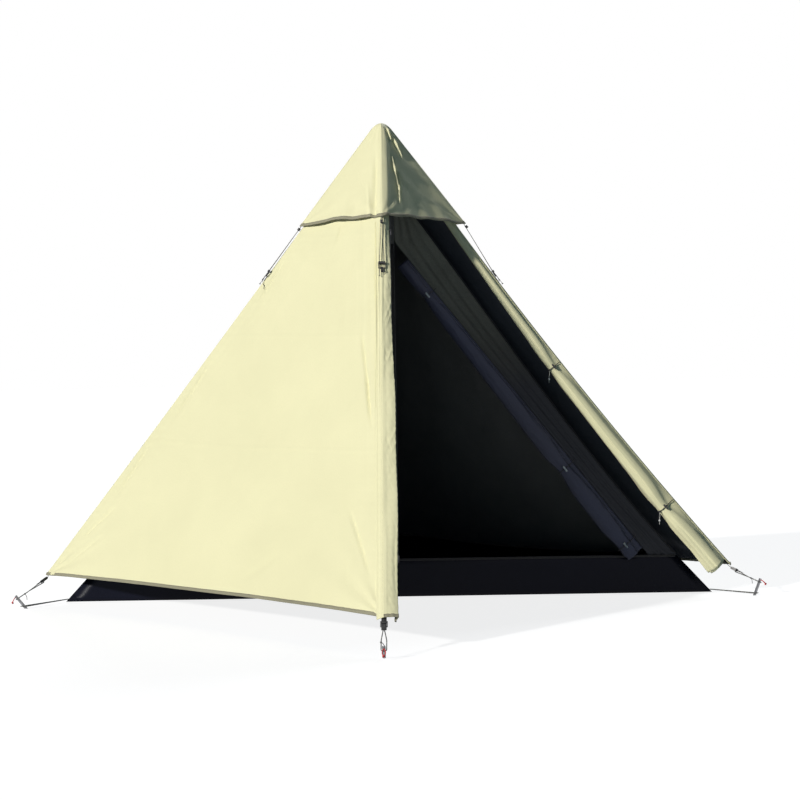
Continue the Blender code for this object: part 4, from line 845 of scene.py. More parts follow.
# One closed turn of guy line: round the buckle's bar, down to the stake and back.
def guyLine(corner):
    _, _, side, _, hook = guyFrame(corner)
    radius = cordRadius["guy"]
    bar = buckleBar(corner)
    wrap = lock["bar"] * 0.71 + gap + radius
    loop = stakeForm["fin"] + stakeForm["loopRoom"] + radius
    along = unit(hook - bar)
    reach = float(np.linalg.norm(hook - bar))
    beside = unit(side - along * dot(side, along))
    over = np.cross(beside, along)
    shares = (0.12, 0.30, 0.46, 0.62, 0.80)

    def run(share, sign):
        width, depth = loop * min(1.0, share / 0.6), wrap * max(0.0, 1.0 - share / 0.6)
        return bar + along * (reach * share) + sign * (beside * width + over * depth)

    points = halfTurn(bar, along, over, wrap, math.pi / 2.0) + [run(share, -1.0) for share in shares]
    points += halfTurn(hook, along, beside, loop, -math.pi / 2.0) + [run(share, 1.0) for share in shares[::-1]]
    return np.array(points)


panelLook = {
    "columns": 150,
    "rows": 300,
    "lapColumns": 4,
    "crease": 0.004,
    "pucker": 0.0012,
    "puckerLength": 0.046,
    "fan": 0.0038,
    "hemWave": 0.0040,
    "packFold": 0.0009,
    "slack": 0.0016,
    "drawFold": 0.0050,
}
# Sharp folds seen on the cloth: face, start and end as (u, share), depth and width.
foldLines = {
    "front_left": [((0.134, 0.455), (0.040, 0.68), 0.0105, 0.0068), ((0.085, 0.55), (0.052, 0.66), 0.0060, 0.0060),
                   ((0.115, 0.81), (0.034, 0.94), 0.0100, 0.0066), ((0.060, 0.30), (0.040, 0.42), 0.0060, 0.0090),
                   ((0.965, 0.52), (0.945, 0.66), 0.0070, 0.0080), ((0.975, 0.70), (0.955, 0.83), 0.0080, 0.0080),
                   ((0.930, 0.84), (0.975, 0.925), 0.0075, 0.0080), ((0.900, 0.90), (0.960, 0.975), 0.0065, 0.0080),
                   ((0.955, 0.30), (0.925, 0.40), 0.0060, 0.0080), ((0.30, 0.90), (0.40, 0.975), 0.0040, 0.0140),
                   ((0.52, 0.225), (0.50, 0.275), 0.0045, 0.0080)],
    "back_left": [((0.30, 0.34), (0.34, 0.62), 0.0022, 0.014), ((0.72, 0.50), (0.70, 0.80), 0.0020, 0.016)],
    "back_right": [((0.35, 0.45), (0.31, 0.74), 0.0022, 0.015), ((0.66, 0.30), (0.69, 0.52), 0.0018, 0.012)],
}


# Rows from low to high, which stand closer together near the end when power is under 1.
def evenRows(count, low, high, power=1.0):
    return low + (high - low) * evenly(count) ** power


# Columns that stand closer together near both seams.
def seamColumns(count):
    t = evenly(count)
    return mix(t, ease(t), 0.78)


# One straight fold between two points of a flat chart, which fades at both ends.
def lineFold(first, last, width, a, b):
    run = np.subtract(last, first)
    length = float(np.hypot(*run))
    along = ((a - first[0]) * run[0] + (b - first[1]) * run[1]) / length
    off = ((a - first[0]) * run[1] - (b - first[1]) * run[0]) / length
    return bell(off, 0.0, width) * ease(along / (0.3 * length)) * ease((length - along) / (0.3 * length))


# How far the cloth stands off the taut surface: puckers, corner folds, hem waves and slack.
def panelLift(face, u, share, seed):
    look = panelLook
    down, wide = share * ridgeLength, share * fly["side"]
    a, b = u * wide, (1.0 - u) * wide
    lift = np.zeros_like(u)
    for off, shift in ((a, 0), (b, 7)):
        phase = 2.4 * softNoise(down / 0.31, shift + 0.5, seed + shift)
        ripple = np.sin(math.tau * down / look["puckerLength"] + phase)
        ripple *= 0.65 + 0.45 * softNoise(down / 0.11, shift + 2.5, seed + 1)
        lift += look["pucker"] * ripple * ease((off - 0.010) / 0.016) * np.exp(-off / 0.055)
        long = softNoise(off / 0.024, down / 0.55, seed + shift + 3)
        lift += look["drawFold"] * 0.5 * long * ease((off - 0.010) / 0.03) * np.exp(-off / 0.13)
        under = (1.0 - share) * ridgeLength
        radius, angle = np.hypot(off, under), np.arctan2(off, under)
        fan = np.sin(angle * 11.0 + 1.3 * softNoise(angle * 2.0, shift + 0.3, seed + 5))
        lift += look["fan"] * fan * ease(radius / 0.10) * np.exp(-radius / 0.26) * ease(off / 0.02) * ease(angle / 0.1)
    hem = ease((share - 0.78) / 0.22)
    lift += look["hemWave"] * hem * softNoise(a / 0.21, 0.4 + down / 0.8, seed + 9) * ease(a / 0.1) * ease(b / 0.1)
    middle = ease(a / 0.08) * ease(b / 0.08)
    lift += look["slack"] * softNoise(a / 0.17, down / 0.24, seed + 11) * middle
    lift += look["slack"] * 0.5 * softNoise(a / 0.070, down / 0.12, seed + 12) * middle
    for at in (0.25, 0.5, 0.75):
        side = 1.0 if at != 0.5 else -1.0
        crease = bell(u * wide, at * wide + 0.03 * softNoise(down / 1.1, at, seed), 0.006)
        lift += side * look["packFold"] * crease * middle
    for at in (0.66, 1.22, 1.80):
        lift += look["packFold"] * bell(down, at + 0.02 * softNoise(a / 0.9, at, seed), 0.006) * middle
    for first, last, depth, width in foldLines.get(face, ()):
        ends = [(spot[0] * spot[1] * fly["side"], spot[1] * ridgeLength) for spot in (first, last)]
        lift -= depth * lineFold(*ends, width, a, down)
    return lift * ease((share - 0.045) / 0.08)


# A face of the fly with its folds, and the lap it carries past the second ridge.
def panelPoints(face, seed):
    look = panelLook
    start, end = faceEnds[face]
    other = nextFace(end)
    u, share = np.meshgrid(seamColumns(look["columns"]), evenRows(look["rows"], fly["topShare"], 1.0, 0.9))
    wide = share * fly["side"]
    crease = look["crease"] * np.sin(3.0 * math.pi * u) ** 2 * np.sin(math.pi * share) ** 2
    points = flySurface(face, u, share)
    points += faceOut(face) * (panelLift(face, u, share, seed) - crease)[..., None]
    points += offRidge(face, start, share) * (edgeSet * (1.0 - ease(u * wide / 0.03)))[..., None]
    points -= offRidge(face, end, share) * (crestPush * (1.0 - ease((1.0 - u) * wide / 0.03)))[..., None]
    rows = share[:, :1]
    reach = evenly(look["lapColumns"] + 1)[None, 1:] * fly["seamLap"]
    lap = besideRidge(other, end, rows, reach, lapRise)
    chart = joined((u - 0.5) * wide, -share * ridgeLength)
    lapChart = joined(0.5 * wide[:, -1:] + reach, -rows * ridgeLength)
    return np.concatenate([points, lap], axis=1), np.concatenate([chart, lapChart], axis=1)


hemRows, clothPieces = {}, {}
for seed, face in enumerate(("front_left", "back_left", "back_right")):
    points, chart = panelPoints(face, 40 + 13 * seed)
    hemRows[face] = points[-8:, : panelLook["columns"]]
    clothPieces[face] = clothPiece("fly_cloth_" + face, gridMesh(points, chart), fly["cloth"], "fly_fabric",
                                   "fly_panel_" + face, flyCream, flyCoating)
print("fly panels made")


jambLook = {
    "rows": 340,
    "lapColumns": 22,
    "columns": 40,
    "fold": 0.0200,
    "lowFold": 0.019,
    "ripple": 0.0040,
    "turnAt": 0.80,
    "crumple": 0.0024,
    "flat": 0.0068,
    "pucker": 0.0006,
    "lapPucker": 0.0005,
    "lapFold": 0.0072,
    "lapFolds": ((0.82, 0.12, 1.0, 78), (0.40, 0.12, 0.55, 79)),  # place across, width, share of lapFold, seed
}


# The strip is narrower near the peak.
def jambWidth(share):
    return (fly["jambTop"] + (fly["jambHem"] - fly["jambTop"]) * share) * np.minimum(1.0, share / 0.12)


# The strip: a soft belly over the doorway's edge, flat beside the zip, and a lap past the front seam.
def jambPoints():
    look = jambLook
    share = evenRows(look["rows"], fly["topShare"], 1.0, 0.9)[:, None]
    down = share * ridgeLength
    wide = jambWidth(share)
    reachIn = wide * np.concatenate([[1.0], np.linspace(1.0, 0.0, look["columns"] - 1)])[None]
    flat = look["flat"] * np.minimum(1.0, share / 0.12)
    reachIn[:, 1:] *= (wide - flat) / wide
    inner = np.minimum(1.0, reachIn / (wide - flat))
    calm = ease((1.0 - inner) / 0.25)
    turnAt = look["turnAt"]
    belly = np.where(inner < turnAt, mix(inner / turnAt, np.sin(math.pi / 2.0 * inner / turnAt), 0.35),
                     np.cos(math.pi / 2.0 * (inner - turnAt) / (1.0 - turnAt)))
    high = look["fold"] * ease((share - 0.15) / 0.22) + look["lowFold"] * ease((share - 0.38) / 0.34)
    fold = high * belly * (1.0 + 0.4 * softNoise(down / 0.30, 0.7, 75))
    bend = softNoise(inner * 2.6 + 0.3 * softNoise(down / 0.4, 1.5, 71), down / 0.33, 72)
    fold = fold + look["ripple"] * np.abs(bend) * ease(inner / 0.15) * calm * ease((share - 0.05) / 0.1)
    pucker = np.sin(math.tau * down / 0.031 + 2.0 * softNoise(down / 0.2, 0.5, 73))
    fold = fold + look["pucker"] * pucker * ease(inner / 0.4)
    crush = np.abs(softNoise(inner * 2.4 + down / 0.06, down / 0.075, 76))
    crush += 0.6 * np.abs(softNoise(inner * 5.0 - down / 0.045, down / 0.040, 77))
    few = ease((share - 0.22) / 0.1) * (1.0 - 0.45 * ease((share - 0.60) / 0.25))
    fold = fold - look["crumple"] * crush * ease(inner / 0.25) * calm * few
    push = crestPush * (1.0 - ease(reachIn / 0.012))
    sheet = besideRidge("front_right", "front", share, reachIn - push, fold)
    reach = fly["jambLap"] * np.minimum(1.0, share / 0.12) * evenly(look["lapColumns"] + 1)[None, 1:]
    pucker = 1.0 + np.sin(math.tau * down / 0.038 + 2.0 * softNoise(down / 0.3, 2.5, 74))
    rise = lapRise + look["lapPucker"] * pucker * np.sin(math.pi * reach / fly["jambLap"])
    across = reach / fly["jambLap"]
    for at, wideness, amount, seed in look["lapFolds"]:
        middle = at + 0.10 * softNoise(down / 0.42, at, seed)
        swell = np.clip(0.95 + 0.6 * softNoise(down / 0.30, 0.5, seed + 2), 0.3, 1.3)
        swell = swell * (1.0 - 0.80 * ease((share - 0.40) / 0.3))
        crease = look["lapFold"] * amount * swell * bell(across, middle, wideness)
        rise = rise + crease * ease((share - 0.225) / 0.03)
    lap = besideRidge("front_left", "front", share, reach, rise)
    chart = joined(reachIn, -down)
    lapChart = joined(-reach, -down)
    return np.concatenate([sheet, lap], axis=1), np.concatenate([chart, lapChart], axis=1)


points, chart = jambPoints()
hemRows["jamb"] = points[-8:]
clothPieces["jamb"] = clothPiece("fly_door_strip", gridMesh(points, chart), fly["cloth"], "fly_fabric",
                                 "fly_door_jamb", flyCream, flyCoating)


hood = {
    "reach": 0.241 * halfDiagonal,
    "lift": 0.018,
    "arch": (0.012, 0.012, 0.016, 0.010),
    "rounding": 0.048,
    "frontDrop": -0.022,
    "rings": 110,
    "perSide": 96,
    "rib": 0.0006,
    "fan": 0.0020,
    "ridgeFold": 0.0040,
    "hemWave": 0.0045,
    "crest": 0.0125,
    "swell": (0.011, 0.023),
    "swellLift": 0.42,
    "sway": 0.018,
    "tipPleat": 0.0012,
    "crinkle": 0.0012,
}
# Creases the sun picks out beside the front seam: start and end as (x, share of the reach).
hoodCreases = [((0.020, 0.10), (0.046, 0.27)), ((0.030, 0.13), (0.078, 0.35)), ((0.046, 0.20), (0.100, 0.43)),
               ((0.040, 0.36), (0.058, 0.60)), ((0.046, 0.44), (0.080, 0.80)), ((0.060, 0.50), (0.086, 0.70)),
               ((0.070, 0.66), (0.078, 0.90))]
# Folds left of the front seam, with their width and height.
hoodLeftFolds = [((-0.022, 0.30), (-0.040, 1.25), 0.0090, -0.0085), ((-0.060, 0.62), (-0.044, 1.20), 0.0060, 0.0050)]
capSteep = 1.65  # metres of cloth down a cap for each metre of its reach
seamSteep = 1.25  # and off its seam for each level metre


# How far a cap falls at each reach, rounded over the tip.
def capFall(reach, rounding):
    return np.where(reach >= rounding, reach, (rounding + reach * reach / rounding) / 2.0)


# The cap's outward direction in each quarter turn.
def capOut(turn):
    middle = np.floor(turn / (math.pi / 2.0)) * (math.pi / 2.0) + math.pi / 4.0
    return joined(np.cos(middle), np.sin(middle), 0.0) * math.cos(faceTilt) + up * math.sin(faceTilt)


# Points of a rounded cap over the peak, and how far off the nearest seam each lies.
def capPoints(reach, turn, peak, rounding, arch):
    spread = np.abs(np.cos(turn)) + np.abs(np.sin(turn))
    x, y = reach * np.cos(turn) / spread, reach * np.sin(turn) / spread
    lift = arch * np.sin(2.0 * turn) ** 2 * (reach / reach.max()) ** 3
    off = np.minimum(np.abs(x), np.abs(y)) * seamSteep
    return joined(x, y, peak - ridgeSlope * capFall(reach, rounding) + lift), off


# Rows of the hood: a rounded cap with ribs at its seams, creases and a wavy hem.
def hoodPoints():
    look = hood
    steps = evenly(look["perSide"] + 1)[:-1]
    turn = np.concatenate([(quarter + mix(steps, ease(steps), 0.5)) * math.pi / 2.0 for quarter in range(4)])
    turn, reach = np.meshgrid(turn, evenly(look["rings"]) ** 0.85 * look["reach"])
    share = reach / look["reach"]
    droop = look["frontDrop"] * bell((turn / math.tau - 0.75 + 0.5) % 1.0, 0.5, 0.055)
    droop += look["sway"] * softNoise(turn * 3.5, 0.5, 96) * ease(np.abs(np.sin(2.0 * turn)) / 0.5)
    quarter = np.floor(turn / (math.pi / 2.0))
    points, off = capPoints(reach * (1.0 + droop * ease((share - 0.45) / 0.55)), turn, fly["peak"] + look["lift"],
                            look["rounding"], np.take(look["arch"], quarter.astype(int)))
    lift = look["rib"] * np.exp(-((off / 0.006) ** 4)) * ease((share - 0.06) / 0.1)
    under = (1.0 - share) * look["reach"] * capSteep
    radius, angle = np.hypot(off, under), np.arctan2(off, under)
    lift += look["fan"] * np.sin(angle * 9.0 + 0.6) * ease(radius / 0.05) * np.exp(-radius / 0.16) * ease(off / 0.012)
    long = softNoise(off / 0.013 + quarter * 9.0, reach / 0.16, 91) * 0.7
    long += 0.5 * softNoise(off / 0.020 + quarter * 5.0, reach / 0.30 + quarter, 92)
    beside = ease((-0.9 * points[..., 1] - points[..., 0]) / 0.06)
    weight = np.where(quarter == 3.0, mix(0.12, 1.0, beside), 0.30)
    lift += (look["ridgeFold"] * weight * long * ease((off - 0.004) / 0.01) * np.exp(-off / 0.055)
             * ease((share - 0.1) / 0.2))
    lift += look["tipPleat"] * np.sin(turn * 13.0) * bell(share, 0.20, 0.09) * ease(off / 0.008)
    x, y, z = points[..., 0], points[..., 1], points[..., 2]

    def foldAt(first, last, width):
        return lineFold((first[0], first[1] * look["reach"]), (last[0], last[1] * look["reach"]), width, x, reach)

    for ends in hoodCreases:
        lift += look["crest"] * (foldAt(*ends, 0.0032) - 0.4 * foldAt(*ends, 0.0090)) * (quarter == 3.0)
    for *ends, width, high in hoodLeftFolds:
        lift += high * foldAt(*ends, width) * (quarter == 2.0)
    # Past the front ridge the cloth keeps facing the sun a little, wider towards the hem.
    swell = look["swell"][0] + look["swell"][1] * share
    sunny = x / swell * np.exp(1.0 - x / swell) * ease((share - 0.04) / 0.12)
    lift += look["swellLift"] * swell * sunny * (y < -0.01) * (quarter == 3.0)
    lift += look["hemWave"] * ease((share - 0.7) / 0.3) * softNoise(turn * 5.0, quarter, 93) * ease(off / 0.03)
    lift += look["crinkle"] * softNoise(x / 0.055, y / 0.055 + z / 0.08, 94) * ease(off / 0.02)
    points += capOut(turn) * lift[..., None]
    return points, joined(off * np.sign(np.cos(2 * turn)), -reach * capSteep)


# Closes the pole of a round grid. Its highest face then looks up, or its lowest one down.
def mergePole(mesh, way=1.0):
    bm = bmesh.new()
    bm.from_mesh(mesh)
    bmesh.ops.remove_doubles(bm, verts=bm.verts[:], dist=0.00002)
    bmesh.ops.recalc_face_normals(bm, faces=bm.faces[:])
    last = max(bm.faces, key=lambda face: way * face.calc_center_median().z)
    if way * last.normal.z < 0.0:
        bmesh.ops.reverse_faces(bm, faces=bm.faces[:])
    bm.to_mesh(mesh)
    bm.free()
    return mesh


points, chart = hoodPoints()
hoodHem = points[-5:]
hoodPiece = clothPiece("hood_cloth", mergePole(gridMesh(points, chart, True)), fly["cloth"], "fly_fabric",
                       "rain_hood", flyCream, flyCoating)


# Four gores laid head to tail: the strip they are cut from, and their area.
def goreCut(reach):
    side = reach * math.sqrt(2.0)
    height = math.hypot(side / 2.0, ridgeSlope * reach)
    return (2.5 * side, height), 2.0 * side * height


hoodCut = goreCut(hood["reach"])

patch = {"reach": 0.085 * halfDiagonal, "rounding": 0.045, "fabric": 0.0020, "rings": 20, "perSide": 14}
faceSteep = math.hypot(1.0, ridgeSlope * math.sqrt(2.0))
patchPeak = fly["peak"] + (patch["fabric"] + lapRise + 2.0 * gap) * faceSteep
turn, reach = np.meshgrid(np.linspace(0.0, math.tau, 4 * patch["perSide"] + 1)[:-1],
                          np.linspace(0.0, patch["reach"], patch["rings"]))
points, off = capPoints(reach, turn, patchPeak, patch["rounding"], 0.0)
chart = joined(points[..., 0], points[..., 1] + points[..., 2])
item = clothPiece("peak_reinforcement", mergePole(gridMesh(points, chart, True)), patch["fabric"], "webbing",
                  "peak_patch", webbingBlack)
cut, area = goreCut(patch["reach"])
print("hood made")


doorRoll = {
    "radius": 0.050,
    "slim": 0.17,
    "stand": 0.006,
    "core": 0.14,
    "turns": 13.25,
    "perTurn": 9,
    "outer": 70,
    "rows": 214,
    "tail": 0.035,
    "pinch": 0.36,
    "pinchReach": 0.05,
    "ties": {"upper": 0.53, "lower": 0.845},
    "pleat": 0.055,
    "wander": 0.060,
    "cloth": 0.00028,
    "slip": 0.016,
    "slipMost": 0.006,
    "longFolds": [  # angle, width and height of each, and how far it drifts
        (-0.30, 0.20, 0.15, 0.5), (0.30, 0.09, -0.15, 0.35), (0.85, 0.15, 0.14, 0.6), (1.35, 0.09, -0.14, 0.4),
        (1.75, 0.13, 0.12, 0.5), (2.35, 0.09, -0.12, 0.6), (2.75, 0.14, 0.12, 0.5), (-1.15, 0.22, 0.12, 0.6),
        (-2.2, 0.25, 0.10, 0.8),
    ],
    "crush": 0.085,
}


# Along the open face from the right ridge, and square out of it.
def doorwayAxes(share):
    side = offRidge("front_right", "right", share)
    out = np.cross(ridgeDown("right", share), side)
    flip = np.sign(dot(out, faceOut("front_right")))[..., None]
    return side, out * flip


# How much a roll keeps of its width where the ties pull it in.
def tieSqueeze(share, ties, depth, reach):
    least = np.min([np.abs(share - at) for at in ties], axis=0)
    return 1.0 - depth * bell(least, 0.0, 0.62 * reach)


def rollRadius(share):
    near = (1.0 - tieSqueeze(share, list(doorRoll["ties"].values()), 1.0, doorRoll["pinchReach"] * 1.4))
    return doorRoll["radius"] * share**0.7 * (1.0 - doorRoll["slim"] * (1.0 - near))


def rollCentre(share):
    radius = rollRadius(share)
    return 0.86 * radius + doorRoll["stand"], -radius


# Noise that closes on itself round a roll and drifts along it.
def roundNoise(angle, share, size, shift, drift, seed):
    return softNoise(np.cos(angle) * size + shift, np.sin(angle) * size + share * drift, seed)


# The section of a roll: a tail that leaves the seam, then turns that wind inwards.
def rollSection(s, look, seam, centre, radii, wander):
    tail = look["tail"]
    share = np.clip(s / tail, 0.0, 1.0)
    tailAcross = mix(seam, centre[0], share)
    tailRise = (centre[1] + radii[1]) * ease(share)
    progress = np.clip((s - tail) / (1.0 - tail), 0.0, 1.0)
    angle = math.pi / 2.0 - progress * look["turns"] * math.tau
    shrink = (1.0 - (1.0 - look["core"]) * progress) * wander(angle, progress)
    across = centre[0] + radii[0] * shrink * np.cos(angle)
    rise = centre[1] + radii[1] * shrink * np.sin(angle)
    return np.where(s < tail, tailAcross, across), np.where(s < tail, tailRise, rise)


# Places along a roll: dense on the turn that shows, fewer inside.
def rollStations(look):
    first = look["tail"] + (1.0 - look["tail"]) / look["turns"]
    parts = [np.linspace(0.0, look["tail"], 7)[:-1], np.linspace(look["tail"], first, look["outer"] + 1)[:-1]]
    return np.concatenate([*parts, np.linspace(first, 1.0, int((look["turns"] - 1.0) * look["perTurn"]) + 1)])


# The fly door as one wound sheet that narrows with the door itself.
def doorRollPoints():
    look = doorRoll
    ties = list(look["ties"].values())
    s, share = np.meshgrid(rollStations(look), evenRows(look["rows"], 0.08, 0.985))
    squeeze = tieSqueeze(share, ties, look["pinch"], look["pinchReach"])
    near = (1.0 - squeeze) / look["pinch"]
    radius = rollRadius(share) * squeeze

    def wander(angle, progress):
        blendIn = ease(progress * look["turns"] * 2.5)
        slow = roundNoise(angle, share, 1.1, 3.0, 9.0, 21)
        twist = roundNoise(angle + share * 4.0, share, 2.0, 7.0, 5.0, 22)
        pleats = np.cos(angle * 8.0 + share * 30.0) * near
        grow = look["wander"] * (slow + 0.7 * twist) * (1.0 - near) - look["pleat"] * (0.5 + 0.5 * pleats) * near
        for at, wide, high, drift in look["longFolds"]:
            off = (angle - at - drift * softNoise(share * 3.0, at, 23) + math.pi) % math.tau - math.pi
            grow = grow + high * bell(off, 0.0, wide) * (1.0 - 0.5 * near)
        crush = np.abs(softNoise(angle * 1.6 + share * 20.0, share * 30.0, 25))
        crush += 0.5 * np.abs(softNoise(angle * 3.0 - share * 34.0, share * 52.0, 26))
        grow = grow - look["crush"] * crush * (0.35 + 0.65 * ease((share - 0.80) / 0.1))
        return 1.0 + grow * blendIn

    side, out = doorwayAxes(share)
    across, rise = rollSection(s, look, edgeSet, rollCentre(share), (radius, radius), wander)
    points = ridgeAt("right", share) + side * across[..., None] + out * rise[..., None]
    slip = look["slip"] * softNoise(s * 23.0, 0.5, 24) * ease((share - 0.90) / 0.10) * ease(s / 0.08)
    points += ridgeDown("right", share) * (np.minimum(slip, look["slipMost"]))[..., None]
    return points, joined(s * share * fly["side"], -share * ridgeLength)


points, chart = doorRollPoints()
item = clothPiece("fly_door_rolled", gridMesh(points, chart), doorRoll["cloth"], "fly_fabric", "fly_door_roll",
                  flyCream, flyCoating)
print("door roll made")


inner = {
    "inset": 0.0796,
    "front": 0.052,
    "peak": 1.93,
    "sag": 0.055,
    "billow": 0.020,
    "fabric": 0.0012,
    "topShare": 0.022,
    "tub": 0.17,
    "tubFabric": 0.0020,
    "doorLeft": 0.050,
    "doorTop": 1.62,
    "doorFoot": 1.190,
    "slack": (0.004, 0.0015),
    "columns": 84,
    "rows": 110,
}
innerRadius = halfDiagonal - inner["inset"]
innerCorners = {
    "left": np.array([-innerRadius, inner["front"], 0.0]),
    "right": np.array([innerRadius, inner["front"], 0.0]),
    "back": np.array([0.0, innerRadius, 0.0]),
}
innerTop = np.array([0.0, inner["front"], inner["peak"]])
tubShare = 1.0 - inner["tub"] / inner["peak"]


# A seam of the inner tent, which sags inwards, most of all two thirds of the way down.
def innerEdge(corner, share):
    share = np.asarray(share, float)
    foot = innerCorners[corner]
    level = unit((innerTop - foot) * levelOnly)
    sag = inner["sag"] * 6.75 * share * share * (1.0 - share)
    return mix(innerTop, foot, share[..., None]) + level * sag[..., None]


def wallOut(first, second):
    side = innerEdge(second, 0.5) - innerEdge(first, 0.5)
    down = (innerEdge(first, 0.9) + innerEdge(second, 0.9)) / 2.0 - innerTop
    return unit(np.cross(side, down))


# How far a wall stops short of a seam, so that two walls meet clear of each other.
def wallSet(first, second):
    inside = math.pi - math.acos(float(dot(first, second)))
    return (inner["fabric"] * math.cos(inside / 2.0) + gap * 0.6) / math.sin(inside / 2.0) + 0.0006


innerOut = {
    "back_left": wallOut("left", "back"),
    "back_right": wallOut("back", "right"),
    "front": np.array([0.0, -1.0, 0.0]),
}
sideSet = wallSet(innerOut["back_left"], innerOut["front"])
backSet = wallSet(innerOut["back_left"], innerOut["back_right"])


def innerSlack(a, b, seed):
    wide, fine = inner["slack"]
    return wide * softNoise(a / 0.16, b / 0.26, seed) + fine * softNoise(a / 0.05, b / 0.11, seed + 1)


# No slack shows at a wall's seams, its top or the tub's lip.
def wallCalm(u, share, edge):
    return ease(u / edge) * ease((1.0 - u) / edge) * ease((tubShare - share) / 0.05) * ease(share / 0.2)


def innerWall(key, points, chart, area, cut, finish=innerBlack):
    item = clothPiece("inner_cloth_" + key, gridMesh(points, chart), inner["fabric"] * 0.6, "inner_fabric",
                      "inner_wall_" + key, finish)


# Rows of an inner wall, from the peak to the tub's lip.
def innerRows():
    return evenRows(inner["rows"], inner["topShare"], tubShare - gap / inner["peak"])


def triangleCut(width, height):
    return width * height / 2.0, (width, height)


sets = {"left": sideSet, "right": sideSet, "back": backSet}
for seed, (first, second, key) in enumerate((("left", "back", "back_left"), ("back", "right", "back_right"))):
    u, share = np.meshgrid(seamColumns(inner["columns"]), innerRows())
    start, end = innerEdge(first, share), innerEdge(second, share)
    side, width = unit(end - start), np.linalg.norm(end - start, axis=-1)
    sag = inner["billow"] * width * 16.0 * (u * (1.0 - u)) ** 2
    sag += 0.006 * np.sin(4.0 * math.pi * u) ** 2 * np.sin(math.pi * share) ** 2
    sag -= innerSlack(u * width, share * inner["peak"], 60 + seed) * wallCalm(u, share, 0.08)
    start, end = start + side * sets[first] * 1.2, end - side * sets[second] * 1.2
    points = mix(start, end, u[..., None]) - innerOut[key] * sag[..., None]
    chart = joined((u - 0.5) * width, -share * inner["peak"] * 1.1)
    wide = float(np.linalg.norm(innerCorners[first] - innerCorners[second]))
    low = (innerCorners[first] + innerCorners[second]) / 2.0
    area, cut = triangleCut(wide, float(np.linalg.norm(low - innerTop)))
    innerWall(key, points, chart, area * tubShare**2, cut)


def frontLeftWall():
    u, share = np.meshgrid(seamColumns(inner["columns"]), innerRows())
    edge = innerEdge("left", share)
    stop = np.minimum(inner["doorLeft"], -edge[..., 0]) - gap
    start = edge[..., 0] + sideSet
    width = stop - start
    sag = 0.012 * width * 16.0 * (u * (1.0 - u)) ** 2
    sag += (innerSlack(u * width, share * inner["peak"], 66) + 0.002) * wallCalm(u, share, 0.06)
    points = joined(stop + (start - stop) * u, inner["front"] + np.maximum(sag, 0.0), edge[..., 2])
    return points, joined(-u * width, edge[..., 2])


points, chart = frontLeftWall()
area, cut = triangleCut(innerRadius + inner["doorLeft"], inner["peak"])
innerWall("front_left", points, chart, area * tubShare**2, cut)


# How far right the inner door reaches at a height.
def doorSlant(height):
    share = (inner["doorTop"] - height) / (inner["doorTop"] - inner["tub"])
    slant = inner["doorLeft"] + (inner["doorFoot"] - inner["doorLeft"]) * share
    return np.where(height >= inner["doorTop"], inner["doorLeft"], slant)


netLook = {"columns": 26, "rows": 120, "fold": 0.007, "ripple": 0.002, "least": 0.012}


# The net between the inner door's slanting edge and the right seam.
def frontRightWall():
    ripple = netLook["ripple"]
    shares = [share for share in np.linspace(inner["topShare"], tubShare - gap / inner["peak"], 13)
              if innerEdge("right", share)[0] > inner["doorLeft"] + netLook["least"]]
    columns = evenly(netLook["columns"])
    u, share = np.meshgrid(columns, evenRows(netLook["rows"], shares[0], shares[-1]))
    edge = innerEdge("right", share)
    right, left = edge[..., 0] - sideSet, doorSlant(edge[..., 2]) + gap
    drift = 0.35 * softNoise(share * 3.0, 1.5, 69)
    fold = netLook["fold"] * np.sin(7.0 * math.pi * (u + drift)) * np.sin(math.pi * u) ** 1.5
    fold = fold * (1.0 - 0.6 * ease(share))
    fold += ripple * softNoise(u * 4.0, share * inner["peak"] / 0.10, 68) * ease(u / 0.2) * ease((1.0 - u) / 0.3)
    fold = np.maximum(fold, -ripple) + ripple
    points = joined(right + (left - right) * u, inner["front"] + fold, edge[..., 2])
    return points, joined(u * (right - left), edge[..., 2])


points, chart = frontRightWall()
wide = points[:, 0, 0] - points[:, -1, 0]
high = -np.diff(points[:, 0, 2])
area = float(((wide[1:] + wide[:-1]) / 2.0 * high).sum()) * 1.03
cut = float(wide.max()) * 1.05, inner["doorTop"] - inner["tub"] + 0.1
innerWall("front_right", points, chart, area, cut, innerNet)
print("inner walls made")


innerRoll = {
    "width": 0.052,
    "depth": 0.026,
    "stand": 0.004,
    "clear": 0.003,
    "core": 0.20,
    "turns": 4.25,
    "perTurn": 18,
    "outer": 60,
    "rows": 190,
    "tail": 0.05,
    "pinch": 0.30,
    "pinchReach": 0.06,
    "ties": {"upper": 0.155, "middle": 0.700, "lower": 0.940},
    "pleat": 0.06,
    "wander": 0.05,
    "crush": (0.09, 0.05),
    "cloth": 0.0005,
    "across": 1.14,
    "slant": 1.84,
}
rollTop = np.array([inner["doorLeft"], inner["front"], inner["doorTop"]])
rollFoot = np.array([inner["doorFoot"], inner["front"], inner["tub"]])
rollAlong = unit(rollFoot - rollTop)
rollOut = np.array([0.0, -1.0, 0.0])
rollSide = np.cross(rollOut, rollAlong)
rollSide = -rollSide if rollSide[0] > 0.0 else rollSide


def innerRollRadii(share):
    grow = 0.55 + 0.45 * share
    return innerRoll["width"] * grow, innerRoll["depth"] * grow


def innerRollCentre(share):
    wide, deep = innerRollRadii(share)
    return wide + innerRoll["stand"], -deep - innerRoll["clear"]


